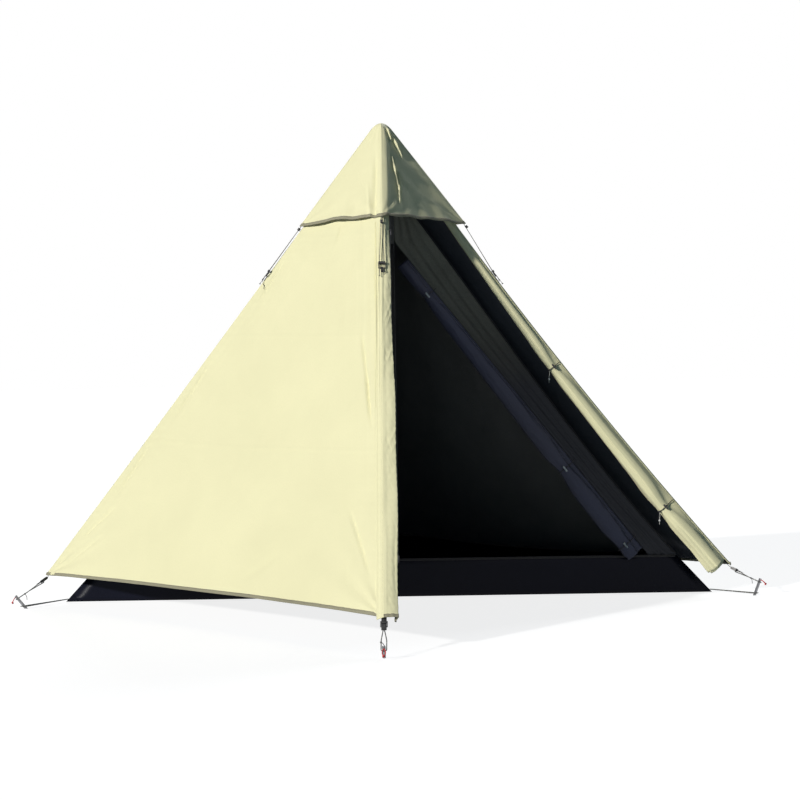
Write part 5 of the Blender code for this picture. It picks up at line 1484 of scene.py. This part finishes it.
# The inner door as a flatter wound sheet along its slanting edge.
def innerRollPoints():
    look = innerRoll
    s, share = np.meshgrid(rollStations(look), evenRows(look["rows"], 0.055, 0.975))
    squeeze = tieSqueeze(share, list(look["ties"].values()), look["pinch"], look["pinchReach"])
    near = (1.0 - squeeze) / look["pinch"]
    squeeze = squeeze * (1.0 - 0.30 * ease((share - 0.955) / 0.02))
    wide, deep = innerRollRadii(share)

    def wander(angle, progress):
        slow = roundNoise(angle, share, 1.2, 5.0, 8.0, 31)
        twist = roundNoise(angle - share * 3.0, share, 2.2, 2.0, 4.0, 32)
        pleats = np.cos(angle * 7.0 - share * 26.0)
        grow = look["wander"] * (slow + twist) * (1.0 - near)
        grow -= look["pleat"] * (0.5 + 0.5 * pleats) * near
        grow -= look["crush"][0] * np.abs(softNoise(angle * 1.5 + share * 14.0, share * 24.0, 33))
        grow -= look["crush"][1] * np.abs(softNoise(angle * 2.6 - share * 25.0, share * 40.0, 34))
        return 1.0 + grow * ease(progress * look["turns"] * 2.0)

    across, depth = rollSection(s, look, 2.0 * gap, innerRollCentre(share), (wide * squeeze, deep * squeeze), wander)
    points = mix(rollTop, rollFoot, share[..., None]) + rollSide * across[..., None] - rollOut * depth[..., None]
    return points, joined(s * share * look["across"], -share * look["slant"])


points, chart = innerRollPoints()
item = clothPiece("inner_door_rolled", gridMesh(points, chart), innerRoll["cloth"], "inner_fabric",
                  "inner_door_roll", innerNavy)


tubLook = {
    "perSide": 40,
    "wallRows": 9,
    "rings": 12,
    "lipDip": 0.004,
    "slack": 0.004,
    "crushAt": -1.36,
    "crushWide": 0.10,
    "pinch": 0.016,
}


# The tub: a flat floor with walls that lean in, as one sheet that is thickened inwards.
def tubMesh():
    steps = evenly(tubLook["perSide"] + 1)[:-1]
    names = list(innerCorners)
    low, high = [], []
    for first, second in zip(names, names[1:] + names[:1]):
        for part in steps:
            low.append(mix(innerCorners[first], innerCorners[second], part))
            lip = mix(innerEdge(first, tubShare), innerEdge(second, tubShare), part)
            lip[2] = inner["tub"] - tubLook["lipDip"] * math.sin(math.pi * part) ** 2
            high.append(lip)
    low, high = np.array(low), np.array(high)
    middle = low.mean(axis=0)
    away = unit((high + low) / 2.0 - middle) * levelOnly
    part = np.tile(steps, len(names))
    calm = np.sin(math.pi * part) ** 0.5
    # The wall is crushed a little beside its left front corner.
    crush = bell(low[:, 0], tubLook["crushAt"], tubLook["crushWide"]) * (low[:, 1] < 0.12)
    crush = crush * ease(part / 0.02) * ease((1.0 - part) / 0.02)
    rows = [mix(middle, low, ring) for ring in evenly(tubLook["rings"])]
    for row in evenly(tubLook["wallRows"])[1:]:
        wall = mix(low, high, row)
        slack = softNoise(np.arange(len(low)) / 3.1, row * 2.0, 77) * tubLook["slack"] * math.sin(math.pi * row)
        wall -= away * (np.abs(slack) * calm)[:, None]
        pinch = np.abs(softNoise(low[:, 0] / 0.021, row * 5.0, 78)) * tubLook["pinch"]
        wall -= away * (pinch * math.sin(math.pi * row) ** 0.7 * crush)[:, None]
        rows.append(wall)
    points = np.array(rows)
    chart = joined(points[..., 0], points[..., 1] + points[..., 2])
    return mergePole(gridMesh(points, chart, True), -1.0)


tubPiece = clothPiece("tub_cloth", tubMesh(), inner["tubFabric"] * 0.6, "tub_fabric", "inner_floor", tubCoated)


hanger = {"width": 0.020, "thickness": 0.0015, "sewnAt": 0.030, "low": 0.062}


# Webbing from the patch under the peak down to the inner tent's top.
def makeHanger():
    reach = hanger["sewnAt"] + hanger["width"] / 2.0
    under = patchPeak - ridgeSlope * float(capFall(np.array(reach), patch["rounding"]))
    under -= patch["fabric"] * faceSteep
    top = np.array([0.0, hanger["sewnAt"], under - gap])
    low = np.array([0.0, inner["front"] - gap, inner["peak"] - hanger["low"]])
    along = unit(low - top)
    side = np.array([1.0, 0.0, 0.0])
    out = np.cross(side, along)
    out = -out if out[1] > 0.0 else out
    line = [mix(top, low, t) + out * hanger["thickness"] / 2.0 for t in evenly(9)]
    mesh = ribbonMesh(line, side, out, hanger["width"], hanger["thickness"])
    item = place("hanger_webbing", mesh, "tent", webbingBlack)
    done(item, "webbing", "inner_hanger")


makeHanger()
print("inner door, tub and hanger made")


# Webbing sewn under the ridge at the hem, which turns to follow the guy line's pull.
def cornerStrap(corner):
    across, down, rise = ridgeAxes(corner, strap["share"])
    start, pull, side, lift, _ = guyFrame(corner)
    sewn = [start - down * far for far in (strap["sewn"], 0.030, 0.006)]
    free = [start + pull * far for far in (0.006, 0.035, strap["free"])]
    stations = through(sewn + free, 40)
    part = ease((evenly(40) - 0.35) / 0.25)[:, None]
    sides, outs = unit(mix(across, side, part)), unit(mix(rise, lift, part))
    mesh = ribbonMesh(stations, sides, outs, strap["width"], strap["thickness"])
    item = place("strap_webbing_" + corner, mesh, "tent", webbingBlack)
    done(item, "webbing", "corner_strap_" + corner)


for corner in toward:
    cornerStrap(corner)


tensioner = {
    "share": 0.345,
    "turnShare": 0.233,
    "width": 0.032,
    "rail": 0.003,
    "tabHigh": 0.010,
    "tabLong": 0.026,
    "tabWide": 0.010,
    "tabWall": 0.0015,
}
strandSide = tensioner["width"] / 2.0 - tensioner["rail"] - 0.0035
strandHeight = tensioner["tabHigh"] / 2.0 + tensioner["rail"] / 2.0 + cordRadius["hood"] + 0.0010


# How far a tape puckers, and how far it stands past the edge it covers.
tapePucker, tapeOver = 0.0005, 0.0012


# Tape folded over an edge: a ribbon round the cloth, with small puckers along it.
def foldedTape(name, edge, inward, out, wide, thick, seed):
    run = runAlong(edge)
    pucker = tapePucker * np.sin(math.tau * run / 0.019 + 2.5 * softNoise(run / 0.12, 0.5, seed))
    line = edge + inward * (wide / 2.0 - tapeOver) - out * (fly["cloth"] / 2.0 - pucker[:, None])
    side = unit(inward + out * (0.05 * softNoise(run / 0.05, 3.5, seed))[:, None])
    square = unit(out - side * dot(out, side)[:, None])
    return trim(name, ribbonMesh(line, side, square, wide, thick), bindingTaupe, "webbing")


# The edge that a cloth's last rows end in, its way in and its way out.
def clothAxes(rows):
    edge = rows[-1]
    inward = unit(rows[-4] - rows[-1])
    along = unit(np.gradient(edge, axis=0))
    inward = unit(inward - along * dot(inward, along)[:, None])
    return edge, inward, np.cross(along, inward)


tape = {"wide": 0.015, "thick": 0.0030, "stitch": 0.0100, "proud": 0.0010}
hoodTape = {"wide": 0.016, "thick": 0.0032, "stitch": 0.0110, "proud": 0.0011}
seamWays = {"front_left": "left", "back_left": "back", "back_right": "right"}


def faceOutwards(normals, out):
    return normals * np.sign(dot(normals, out))[:, None]


# Tape on the hood's wavy hem, and stitches beside its four seams.
def hoodTrims():
    order = np.r_[np.arange(hood["perSide"], 4 * hood["perSide"]), np.arange(0, hood["perSide"] + 1)]
    rows = hoodHem[:, order]
    edge, inward, out = clothAxes(rows)
    out = faceOutwards(out, unit(edge * levelOnly + up * 0.4))
    made = [foldedTape("hood_hem_tape", edge, inward, out, hoodTape["wide"], hoodTape["thick"], 17)]
    hem = (edge + inward * hoodTape["stitch"] + out * hoodTape["proud"], out)
    made.append(fillRows("hood_hem_stitches", stitchRow, [hem], threadTaupe, 21))
    lines = []
    for quarter in range(4):
        for off, shift in ((0.0, 0.0042), (1.0, -0.0042)):
            turn = (quarter + off) * math.pi / 2.0 + (0.5 - off) * 0.0001
            reach = np.linspace(0.12, 0.985, 60) * hood["reach"]
            spots, _ = capPoints(reach, np.full(60, turn), fly["peak"] + hood["lift"], hood["rounding"], 0.0)
            way = joined(-math.sin(turn), math.cos(turn), 0.0)
            out = capOut(np.full(60, turn))
            fall = unit(way - out * dot(way, out)[:, None])
            lines.append((spots + fall * shift + out * (hood["rib"] + 0.0002), out))
    made.append(fillRows("hood_seam_stitches", stitchRow, lines, threadCream, 22, "fly_fabric"))
    return made


hoodTrims()


# A webbing tab bent into a closed loop, as a ribbon whose ends meet.
def loopLine(long, high):
    radius, half = high / 2.0, long / 2.0 - high / 2.0
    turn = np.linspace(-math.pi / 2.0, math.pi / 2.0, 10)
    spots = [(half + radius * math.cos(a), radius * math.sin(a)) for a in turn]
    spots += [(-half - radius * math.cos(a), -radius * math.sin(a)) for a in turn]
    return np.array(spots + spots[:1])


# The loop of webbing on a ridge that holds a tensioner.
def ridgeTab(corner):
    across, down, rise = ridgeAxes(corner, tensioner["share"])
    wall = tensioner["tabWall"]
    flat = loopLine(tensioner["tabLong"] - wall, tensioner["tabHigh"] - wall)
    spot = ridgeAt(corner, tensioner["share"]) + rise * (tensioner["tabHigh"] / 2.0)
    line = spot + down * flat[:, :1] + rise * flat[:, 1:]
    outs = np.cross(across, unit(np.gradient(line, axis=0)))
    mesh = ribbonMesh(line, across, outs, tensioner["tabWide"], wall)
    return trim("ridge_tab_" + corner, mesh, webbingBlack, "webbing")


# An overhand knot, drawn as a trefoil of cord.
def knot(name, spot, along, size, radius, finish, body, slot):
    t = np.linspace(0.0, math.tau, 49)[:-1]
    flat = np.stack([np.sin(t) + 2.0 * np.sin(2.0 * t), np.cos(t) - 2.0 * np.cos(2.0 * t), -1.6 * np.sin(3.0 * t)], 1)
    along = unit(along)
    side = unit(np.cross(along, [0.23, 0.41, 0.88]))
    over = np.cross(along, side)
    line = spot + (flat[:, :1] * side + flat[:, 1:2] * over + flat[:, 2:] * along) * (size / 3.0)
    return trim(name, tubeMesh(line, radius, 7, True), finish, slot, body)


# A loose end of cord.
def tail(name, points, radius, finish, body, slot):
    return trim(name, tubeMesh(through(points, 8 * len(points)), radius, 8), finish, slot, body)


sleeve = {"inner": 0.0034, "outer": 0.0066, "long": 0.013, "beyond": 0.028}


# The stop that gathers both strands of a hood cord below the hem.
def hoodSleeve(corner, spot, chord):
    high, bore, body = sleeve["long"], sleeve["inner"], sleeve["outer"]
    profile = [(bore, 0.001), (bore + 0.001, 0.0), (body - 0.0012, 0.0), (body, 0.0015), (body * 0.93, high / 2.0),
               (body, high - 0.0015), (body - 0.0012, high), (bore + 0.001, high), (bore, high - 0.001)]
    mesh = latheMesh(spot + chord * sleeve["beyond"], chord, profile)
    return trim("hood_sleeve_" + corner, mesh, plasticBlack, "black_plastic")


# The loose end's path as distances out from the ridge and down it. tailSides names the face each one lies on.
tailPath = ((0.007, 0.010), (0.018, 0.017), (0.029, 0.020), (0.038, 0.031))
tailSides = {"front": "front_right", "left": "front_left", "right": "back_right", "back": "back_left"}


# Knots below the tensioner, and a loose end that lies on the cloth.
def hoodEnds(corner):
    across, down, rise = ridgeAxes(corner, tensioner["share"])
    spot = ridgeAt(corner, tensioner["share"])
    radius = cordRadius["hood"]
    made = []
    for k, (side, along) in enumerate(((strandSide, 0.036), (-strandSide, 0.0125))):
        at = spot + across * side + down * along + rise * strandHeight
        made.append(knot(f"hood_knot_{corner}_{k}", at, down, 0.0026, radius * 0.95, hoodBraid, "tent", "cord"))
    face = tailSides[corner]
    way = 1.0 if dot(offRidge(face, corner, 0.35), across) > 0.0 else -1.0
    start = spot + across * strandSide * way + down * (0.037 if way > 0.0 else 0.0135) + rise * strandHeight
    side, out = offRidge(face, corner, 0.36), faceOut(face)
    lift = radius + 0.0018
    foot = dot(start - spot, side)
    points = [start]
    for off, along in tailPath:
        base = spot + down * (dot(start - spot, down) + along)
        points.append(base + side * (foot + off) + out * (lift + 0.004 * math.exp(-off / 0.010)))
    made.append(tail("hood_tail_" + corner, points, radius, hoodBraid, "tent", "cord"))
    return made


# Tails as distances down and aside from the knot, and the pale bead's bore and body.
tieEnd = {
    "knot": 0.0046,
    "blackTail": [(0.0, 0.0), (0.014, 0.006), (0.030, 0.011), (0.042, 0.010)],
    "paleTail": [(0.0, 0.0), (0.018, -0.005), (0.038, -0.004), (0.060, -0.010)],
    "pale": 0.0014,
    "bead": (0.0014, 0.0042),
}


# Ends of a tie: a knot on the turn of cord, a short black tail and a pale one with a bead.
def tieEnds(name, spot, along, drop, radius):
    made = [knot("tie_knot_" + name, spot, along, tieEnd["knot"], radius, tieBraid, "tent", "tie_cord")]
    ways = drop, unit(np.cross(along, drop))
    points = pathFrom(spot, ways, tieEnd["blackTail"])
    made.append(tail("tie_tail_" + name, points, radius * 0.9, tieBraid, "tent", "tie_cord"))
    points = pathFrom(spot, ways, tieEnd["paleTail"])
    made.append(tail("tie_pale_tail_" + name, points, tieEnd["pale"], paleBraid, "tent", "tie_cord"))
    bore, body = tieEnd["bead"]
    profile = [(bore, 0.0), (body * 0.7, 0.0), (body, 0.002), (body, 0.006), (body * 0.7, 0.008), (bore, 0.008)]
    mesh = latheMesh(points[2], points[3] - points[2], profile, 14)
    made.append(trim("tie_bead_" + name, mesh, plasticGrey, "grey_plastic"))
    return made


# The pull's path as distances aside, outwards and up the stake from the hole under its head.
pull = {
    "path": [(0.0, 0.0, 0.0), (0.004, 0.006, 0.0), (0.006, 0.017, -0.004), (0.0, 0.026, -0.010),
             (-0.006, 0.017, -0.005), (-0.004, 0.006, 0.0), (0.0, 0.0, 0.0)],
    "radius": 0.0018,
    "knot": 0.0044,
    "knotRadius": 0.0017,
}


# A red loop through the hole under each stake's head.
def pullLoop(corner):
    base, axis, proud = stakeAxes(corner)
    aside = unit(np.cross(axis, up)) if corner in ("left", "right") else unit(np.cross(up, axis))
    out = np.cross(aside, axis)
    out = out if dot(out, toward[corner]) > 0.0 else -out
    hole = base + axis * (proud - stakeForm["hole"]) + out * stakeForm["holeOut"]
    points = pathFrom(hole, (aside, out, axis), pull["path"])
    ends = [knot("pull_knot_" + corner, points[3], out, pull["knot"], pull["knotRadius"], redBraid, "stake_" + corner,
                 "cord")]
    makeCord("pull_loop_" + corner, through(points, 70), pull["radius"], redBraid, "stake_" + corner, "cord", sides=8,
             extras=ends)


# Two rows of stitches on each ridge: their run, how far in from the fold and the edge, and how proud they lie.
seamRows = {"from": 0.20, "to": 0.992, "inset": (0.0035, 0.0025), "proud": 0.0002}
stripRows = {"inset": (0.0040, 0.0035), "proud": 0.0006}


# Each hem gets its tape, and every ridge two rows of stitches through the lapped seam.
def sewFly():
    hemLines, trims = [], {}
    for seed, face in enumerate(seamWays):
        edge, inward, out = clothAxes(hemRows[face])
        out = faceOutwards(out, faceOut(face))
        trims[face] = [foldedTape("hem_tape_" + face, edge, inward, out, tape["wide"], tape["thick"], seed)]
        hemLines.append((edge + inward * tape["stitch"] + out * tape["proud"], out))
    edge, inward, out = clothAxes(hemRows["jamb"][:, : jambLook["columns"]])
    out = faceOutwards(out, faceOut("front_right"))
    trims["jamb"] = [foldedTape("hem_tape_strip", edge, inward, out, tape["wide"], tape["thick"], 9)]
    hemLines.append((edge + inward * tape["stitch"] + out * tape["proud"], out))
    trims["front_left"].append(fillRows("hem_stitches", stitchRow, hemLines, threadTaupe, 3))
    share = np.linspace(seamRows["from"], seamRows["to"], 120)
    seams = [(nextFace(corner), corner, fly["seamLap"], seamRows) for corner in seamWays.values()]
    ridgeLines = []
    for face, corner, lap, rows in (*seams, ("front_left", "front", fly["jambLap"], stripRows)):
        for reach in (rows["inset"][0], lap - rows["inset"][1]):
            spots = besideRidge(face, corner, share, reach, lapRise + rows["proud"])
            ridgeLines.append((spots, faceOut(face)))
    trims["back_left"].append(fillRows("ridge_stitches", stitchRow, ridgeLines, threadCream, 5, "fly_fabric"))
    return trims


piping = {"from": 0.232, "to": 0.62, "radius": 0.0022, "beyond": 0.0012, "thinFrom": 0.40, "thinner": 0.55}


# The lap of the strip left of the door ends in a narrow piping that reads as a dark line.
def stripPiping():
    share = np.linspace(piping["from"], piping["to"], 120)
    spots = besideRidge("front_left", "front", share, fly["jambLap"] + piping["beyond"], lapRise + 0.0002)
    radius = piping["radius"] * (1.0 - piping["thinner"] * ease((share - piping["thinFrom"]) / 0.22))
    return trim("strip_piping", tubeMesh(spots, radius, 8), flyCream, "webbing")


# Where the zip starts and ends on the ridge, then for each row how far in from the edge and how far out it lies.
zipLook = {
    "from": 0.075,
    "to": 0.972,
    "tape": (0.0065, 0.0012),
    "chain": (0.0010, 0.0030),
    "seam": (0.0110, 0.0018),
    "wide": 0.0125,
    "thick": 0.0008,
}


# Zip tape along the open edge of the strip, with its chain of teeth under the slider.
def flyZip():
    share = np.linspace(zipLook["from"], zipLook["to"], 150)
    side = offRidge("front_right", "front", share)
    wide = fly["jambTop"] + (fly["jambHem"] - fly["jambTop"]) * share
    out = faceOut("front_right")

    def row(key):
        inwards, outwards = zipLook[key]
        return besideRidge("front_right", "front", share, wide - inwards, outwards)

    mesh = ribbonMesh(row("tape"), side, out, zipLook["wide"], zipLook["thick"])
    item = trim("fly_zip_tape", mesh, flyCream, "webbing")
    teeth = fillRows("fly_zip_teeth", toothRow, [(row("chain"), out)], zipTeeth, 11, "zip_metal")
    return [item, teeth, fillRows("fly_zip_stitches", stitchRow, [(row("seam"), out)], threadTaupe, 12)]


tabs = {corner: ridgeTab(corner) for corner in toward}
trims = sewFly()
trims["front_left"] += [tabs["front"], tabs["left"]]
trims["back_left"].append(tabs["back"])
trims["back_right"].append(tabs["right"])
trims["jamb"] += [stripPiping(), *flyZip()]
print("fly sewn")

# The loose end's path as distances aside and up from its knot.
guyEnd = {"knot": 0.0030, "radius": 0.0013, "at": 0.845,
          "path": [(0.0, 0.0), (0.006, -0.004), (0.012, -0.014), (0.013, -0.026)]}


# The knot that closes a guy line, and its loose end.
def guyEnds(corner, line):
    at = int(len(line) * guyEnd["at"])
    along = unit(line[at + 1] - line[at - 1])
    body, radius = guyBody(corner), guyEnd["radius"]
    made = [knot("guy_knot_" + corner, line[at], along, guyEnd["knot"], radius, guyBraid, body, "cord")]
    points = pathFrom(line[at], (unit(np.cross(along, up)), up), guyEnd["path"])
    made.append(tail("guy_tail_" + corner, points, radius, guyBraid, body, "cord"))
    return made


for corner in toward:
    line = through(guyLine(corner), 160, True)
    makeCord("guy_line_" + corner, line, cordRadius["guy"], guyBraid, guyBody(corner), "cord",
             nodes=("guy_cord_" + corner,), extras=guyEnds(corner, line))
    pullLoop(corner)
print("guy lines:", cordLengths)


tubTape = {"wide": 0.011, "thick": 0.0030, "proud": 0.0017}
innerSeam = {"proud": 0.0012, "radius": 0.0017}
# Beside the inner door's left edge: how far in from it and how far out each row lies.
innerZip = {"tape": (0.0100, -0.0002), "chain": (0.0030, 0.0014), "seams": ((0.0125, 0.0006), (0.0165, 0.0006)),
            "wide": 0.0150, "thick": 0.0006}


# Inner tent trims: tape round the tub's lip, piped corner seams, and the zip at the door's left.
def innerTrims():
    made = []
    part = np.linspace(0.004, 0.996, 60)[:, None]
    stitches = []
    lips = (("left", "right", "front"), ("left", "back", "back_left"), ("right", "back", "back_right"))
    for first, second, key in lips:
        line = mix(innerEdge(first, tubShare), innerEdge(second, tubShare), part)
        line[:, 2] = inner["tub"] - 0.002 - (0.0 if key == "front" else 0.004) * np.sin(math.pi * part[:, 0]) ** 2
        out = unit(innerOut[key])
        mesh = ribbonMesh(line, unit(up - out * dot(up, out)), out, tubTape["wide"], tubTape["thick"])
        made.append(trim("tub_tape_" + key, mesh, bindingBlack, "webbing"))
        stitches.append((line + out * tubTape["proud"], out))
    for corner in innerCorners:
        line = innerEdge(corner, np.linspace(0.03, tubShare - 0.004, 90))
        away = unit((innerCorners[corner] - innerTop) * levelOnly)
        mesh = tubeMesh(line + away * innerSeam["proud"], innerSeam["radius"], 8)
        made.append(trim("inner_seam_" + corner, mesh, bindingBlack, "webbing"))
    high = np.linspace(inner["tub"] + 0.006, inner["doorTop"] - 0.01, 60)
    out = innerOut["front"]

    def besideDoor(inwards, outwards):
        return joined(inner["doorLeft"] - inwards, inner["front"] - outwards, high)

    mesh = ribbonMesh(besideDoor(*innerZip["tape"]), [1.0, 0.0, 0.0], out, innerZip["wide"], innerZip["thick"])
    made.append(trim("inner_zip_tape", mesh, bindingBlack, "webbing"))
    chain = besideDoor(*innerZip["chain"])
    made.append(fillRows("inner_zip_teeth", toothRow, [(chain, out)], zipTeeth, 31, "zip_metal"))
    stitches += [(besideDoor(*seam), out) for seam in innerZip["seams"]]
    made.append(fillRows("inner_stitches", stitchRow, stitches, threadBlack, 32))
    return made


innerTrims()
print("inner tent trimmed")


# An arc round a roll's section, clear of its cloth.
def tieRound(centre, radii, clear, first, sweep):
    turn = first + np.linspace(0.0, sweep, 48)
    return [(centre[0] + (radii[0] + clear) * math.cos(a), centre[1] + (radii[1] + clear) * math.sin(a)) for a in turn]


# A cord sewn beside the ridge that runs over the rolled door and round it.
def flyTie(name, share):
    side, out = doorwayAxes(share)
    radius = float(rollRadius(share)) * (1.0 - doorRoll["pinch"])
    centre = [float(x) for x in rollCentre(share)]
    clear = cordRadius["tie"] + 2.0 * gap
    flat = [(mix(fly["seamLap"] + 0.003, centre[0], t), (centre[1] + radius) * float(ease(t)) + clear * 1.15)
            for t in np.linspace(0.0, 0.8, 7)]
    flat += tieRound(centre, (radius, radius), clear * 1.1, math.pi / 2.0, -math.radians(255.0))
    base = ridgeAt("right", share)
    line = through([base + side * a + out * b for a, b in flat[::3]], 120)
    turn, reach = math.radians(-12.0), radius + clear * 1.1 + 0.0020
    spot = base + side * (centre[0] + reach * math.cos(turn)) + out * (centre[1] + reach * math.sin(turn))
    ends = tieEnds(name, spot, ridgeDown("right", share), unit(-up + side * 0.25), cordRadius["tie"])
    makeCord("tie_cord_fly_" + name, line, cordRadius["tie"], tieBraid, "tent", "tie_cord",
             nodes=("fly_tieback_" + name,), extras=ends)


for name, share in doorRoll["ties"].items():
    flyTie(name, share)


# A cord that comes round the edge of the front wall and holds the inner roll.
def innerTie(name, share):
    wide, deep = (x * (1.0 - innerRoll["pinch"]) for x in innerRollRadii(share))
    centre = innerRollCentre(share)
    clear = cordRadius["tie"] + inner["fabric"] + 2.0 * gap
    flat = [(-0.012, -cordRadius["tie"] - 2.0 * gap)]
    flat += tieRound(centre, (wide, deep), clear, math.radians(200.0), math.radians(255.0))[::3]
    base = mix(rollTop, rollFoot, share)
    line = through([base + rollSide * a - rollOut * b for a, b in flat], 120)
    makeCord("tie_cord_inner_" + name, line, cordRadius["tie"], tieBraid, "tent", "tie_cord",
             nodes=("inner_tieback_" + name,))


for name, share in innerRoll["ties"].items():
    innerTie(name, share)


# Both strands run from the tensioner up the ridge and turn under the hood, held by its sleeve.
def hoodCord(corner):
    across, down, rise = ridgeAxes(corner, tensioner["share"])
    spot = ridgeAt(corner, tensioner["share"])
    chord = unit(toward[corner] * halfDiagonal - up * flyDrop)
    square = np.cross(across, chord)
    tilt = faceAngle / 2.0
    strand = cordRadius["hood"] * 1.5
    depth = (0.0015 + cordRadius["hood"] + gap) / math.sin(tilt) + strand / math.tan(tilt)
    top = up * (fly["peak"] + hood["lift"]) + chord * (ridgeLength * tensioner["turnShare"]) - square * depth

    def low(side, along):
        return spot + across * side + down * along + rise * strandHeight

    def tip(side, along):
        return top + across * side + chord * along

    first = [low(strandSide, along) for along in (0.034, 0.010, -0.020, -0.050)]
    far = [tip(strand, 0.002), tip(strand, -0.010), tip(0.0, -0.0125), tip(-strand, -0.010), tip(-strand, 0.002)]
    last = [low(-strandSide, along) for along in (-0.050, -0.020, 0.010)]
    legs, back = ([mix(a, b, t) for t in (0.25, 0.5, 0.75)] for a, b in ((first[-1], far[0]), (far[-1], last[0])))
    line = through([*first, *legs, *far, *back, *last], 150)
    extras = [hoodSleeve(corner, top, chord), *hoodEnds(corner)]
    makeCord("hood_line_" + corner, line, cordRadius["hood"], hoodBraid, "tent", "cord",
             nodes=("hood_cord_" + corner,), extras=extras)


for corner in toward:
    hoodCord(corner)


innerCord = {"height": 0.012, "stakeHeight": 0.010}


# A loop from the foot of the tub's corner round the stake, just above the ground.
def innerCornerCord(corner):
    base, axis, _ = stakeAxes(corner)
    radius, height = cordRadius["guy"], innerCord["height"]
    goal = base + axis * (innerCord["stakeHeight"] / axis[2])
    start = mix(innerEdge(corner, 1.0), innerEdge(corner, tubShare), (height - radius) / inner["tub"])
    start[2] = height
    along = unit(goal - start)
    beside = unit(np.cross(up, along))
    loop = stakeForm["fin"] / axis[2] + stakeForm["loopRoom"] + radius
    begin = start + along * (2.0 * gap)
    legs = [(begin, 0.0018), (mix(start, goal, 0.22), 0.0045), (mix(start, goal, 0.45), 0.006)]
    points = [spot - beside * off for spot, off in legs]
    points += halfTurn(goal, along, beside, loop, -math.pi / 2.0)
    points += [spot + beside * off for spot, off in legs[::-1]]
    makeCord("inner_corner_line_" + corner, through(points, 110), radius, guyBraid, "tent", "cord",
             nodes=("inner_corner_cord_" + corner,))


for corner in innerCorners:
    innerCornerCord(corner)
print("cords:", cordLengths)
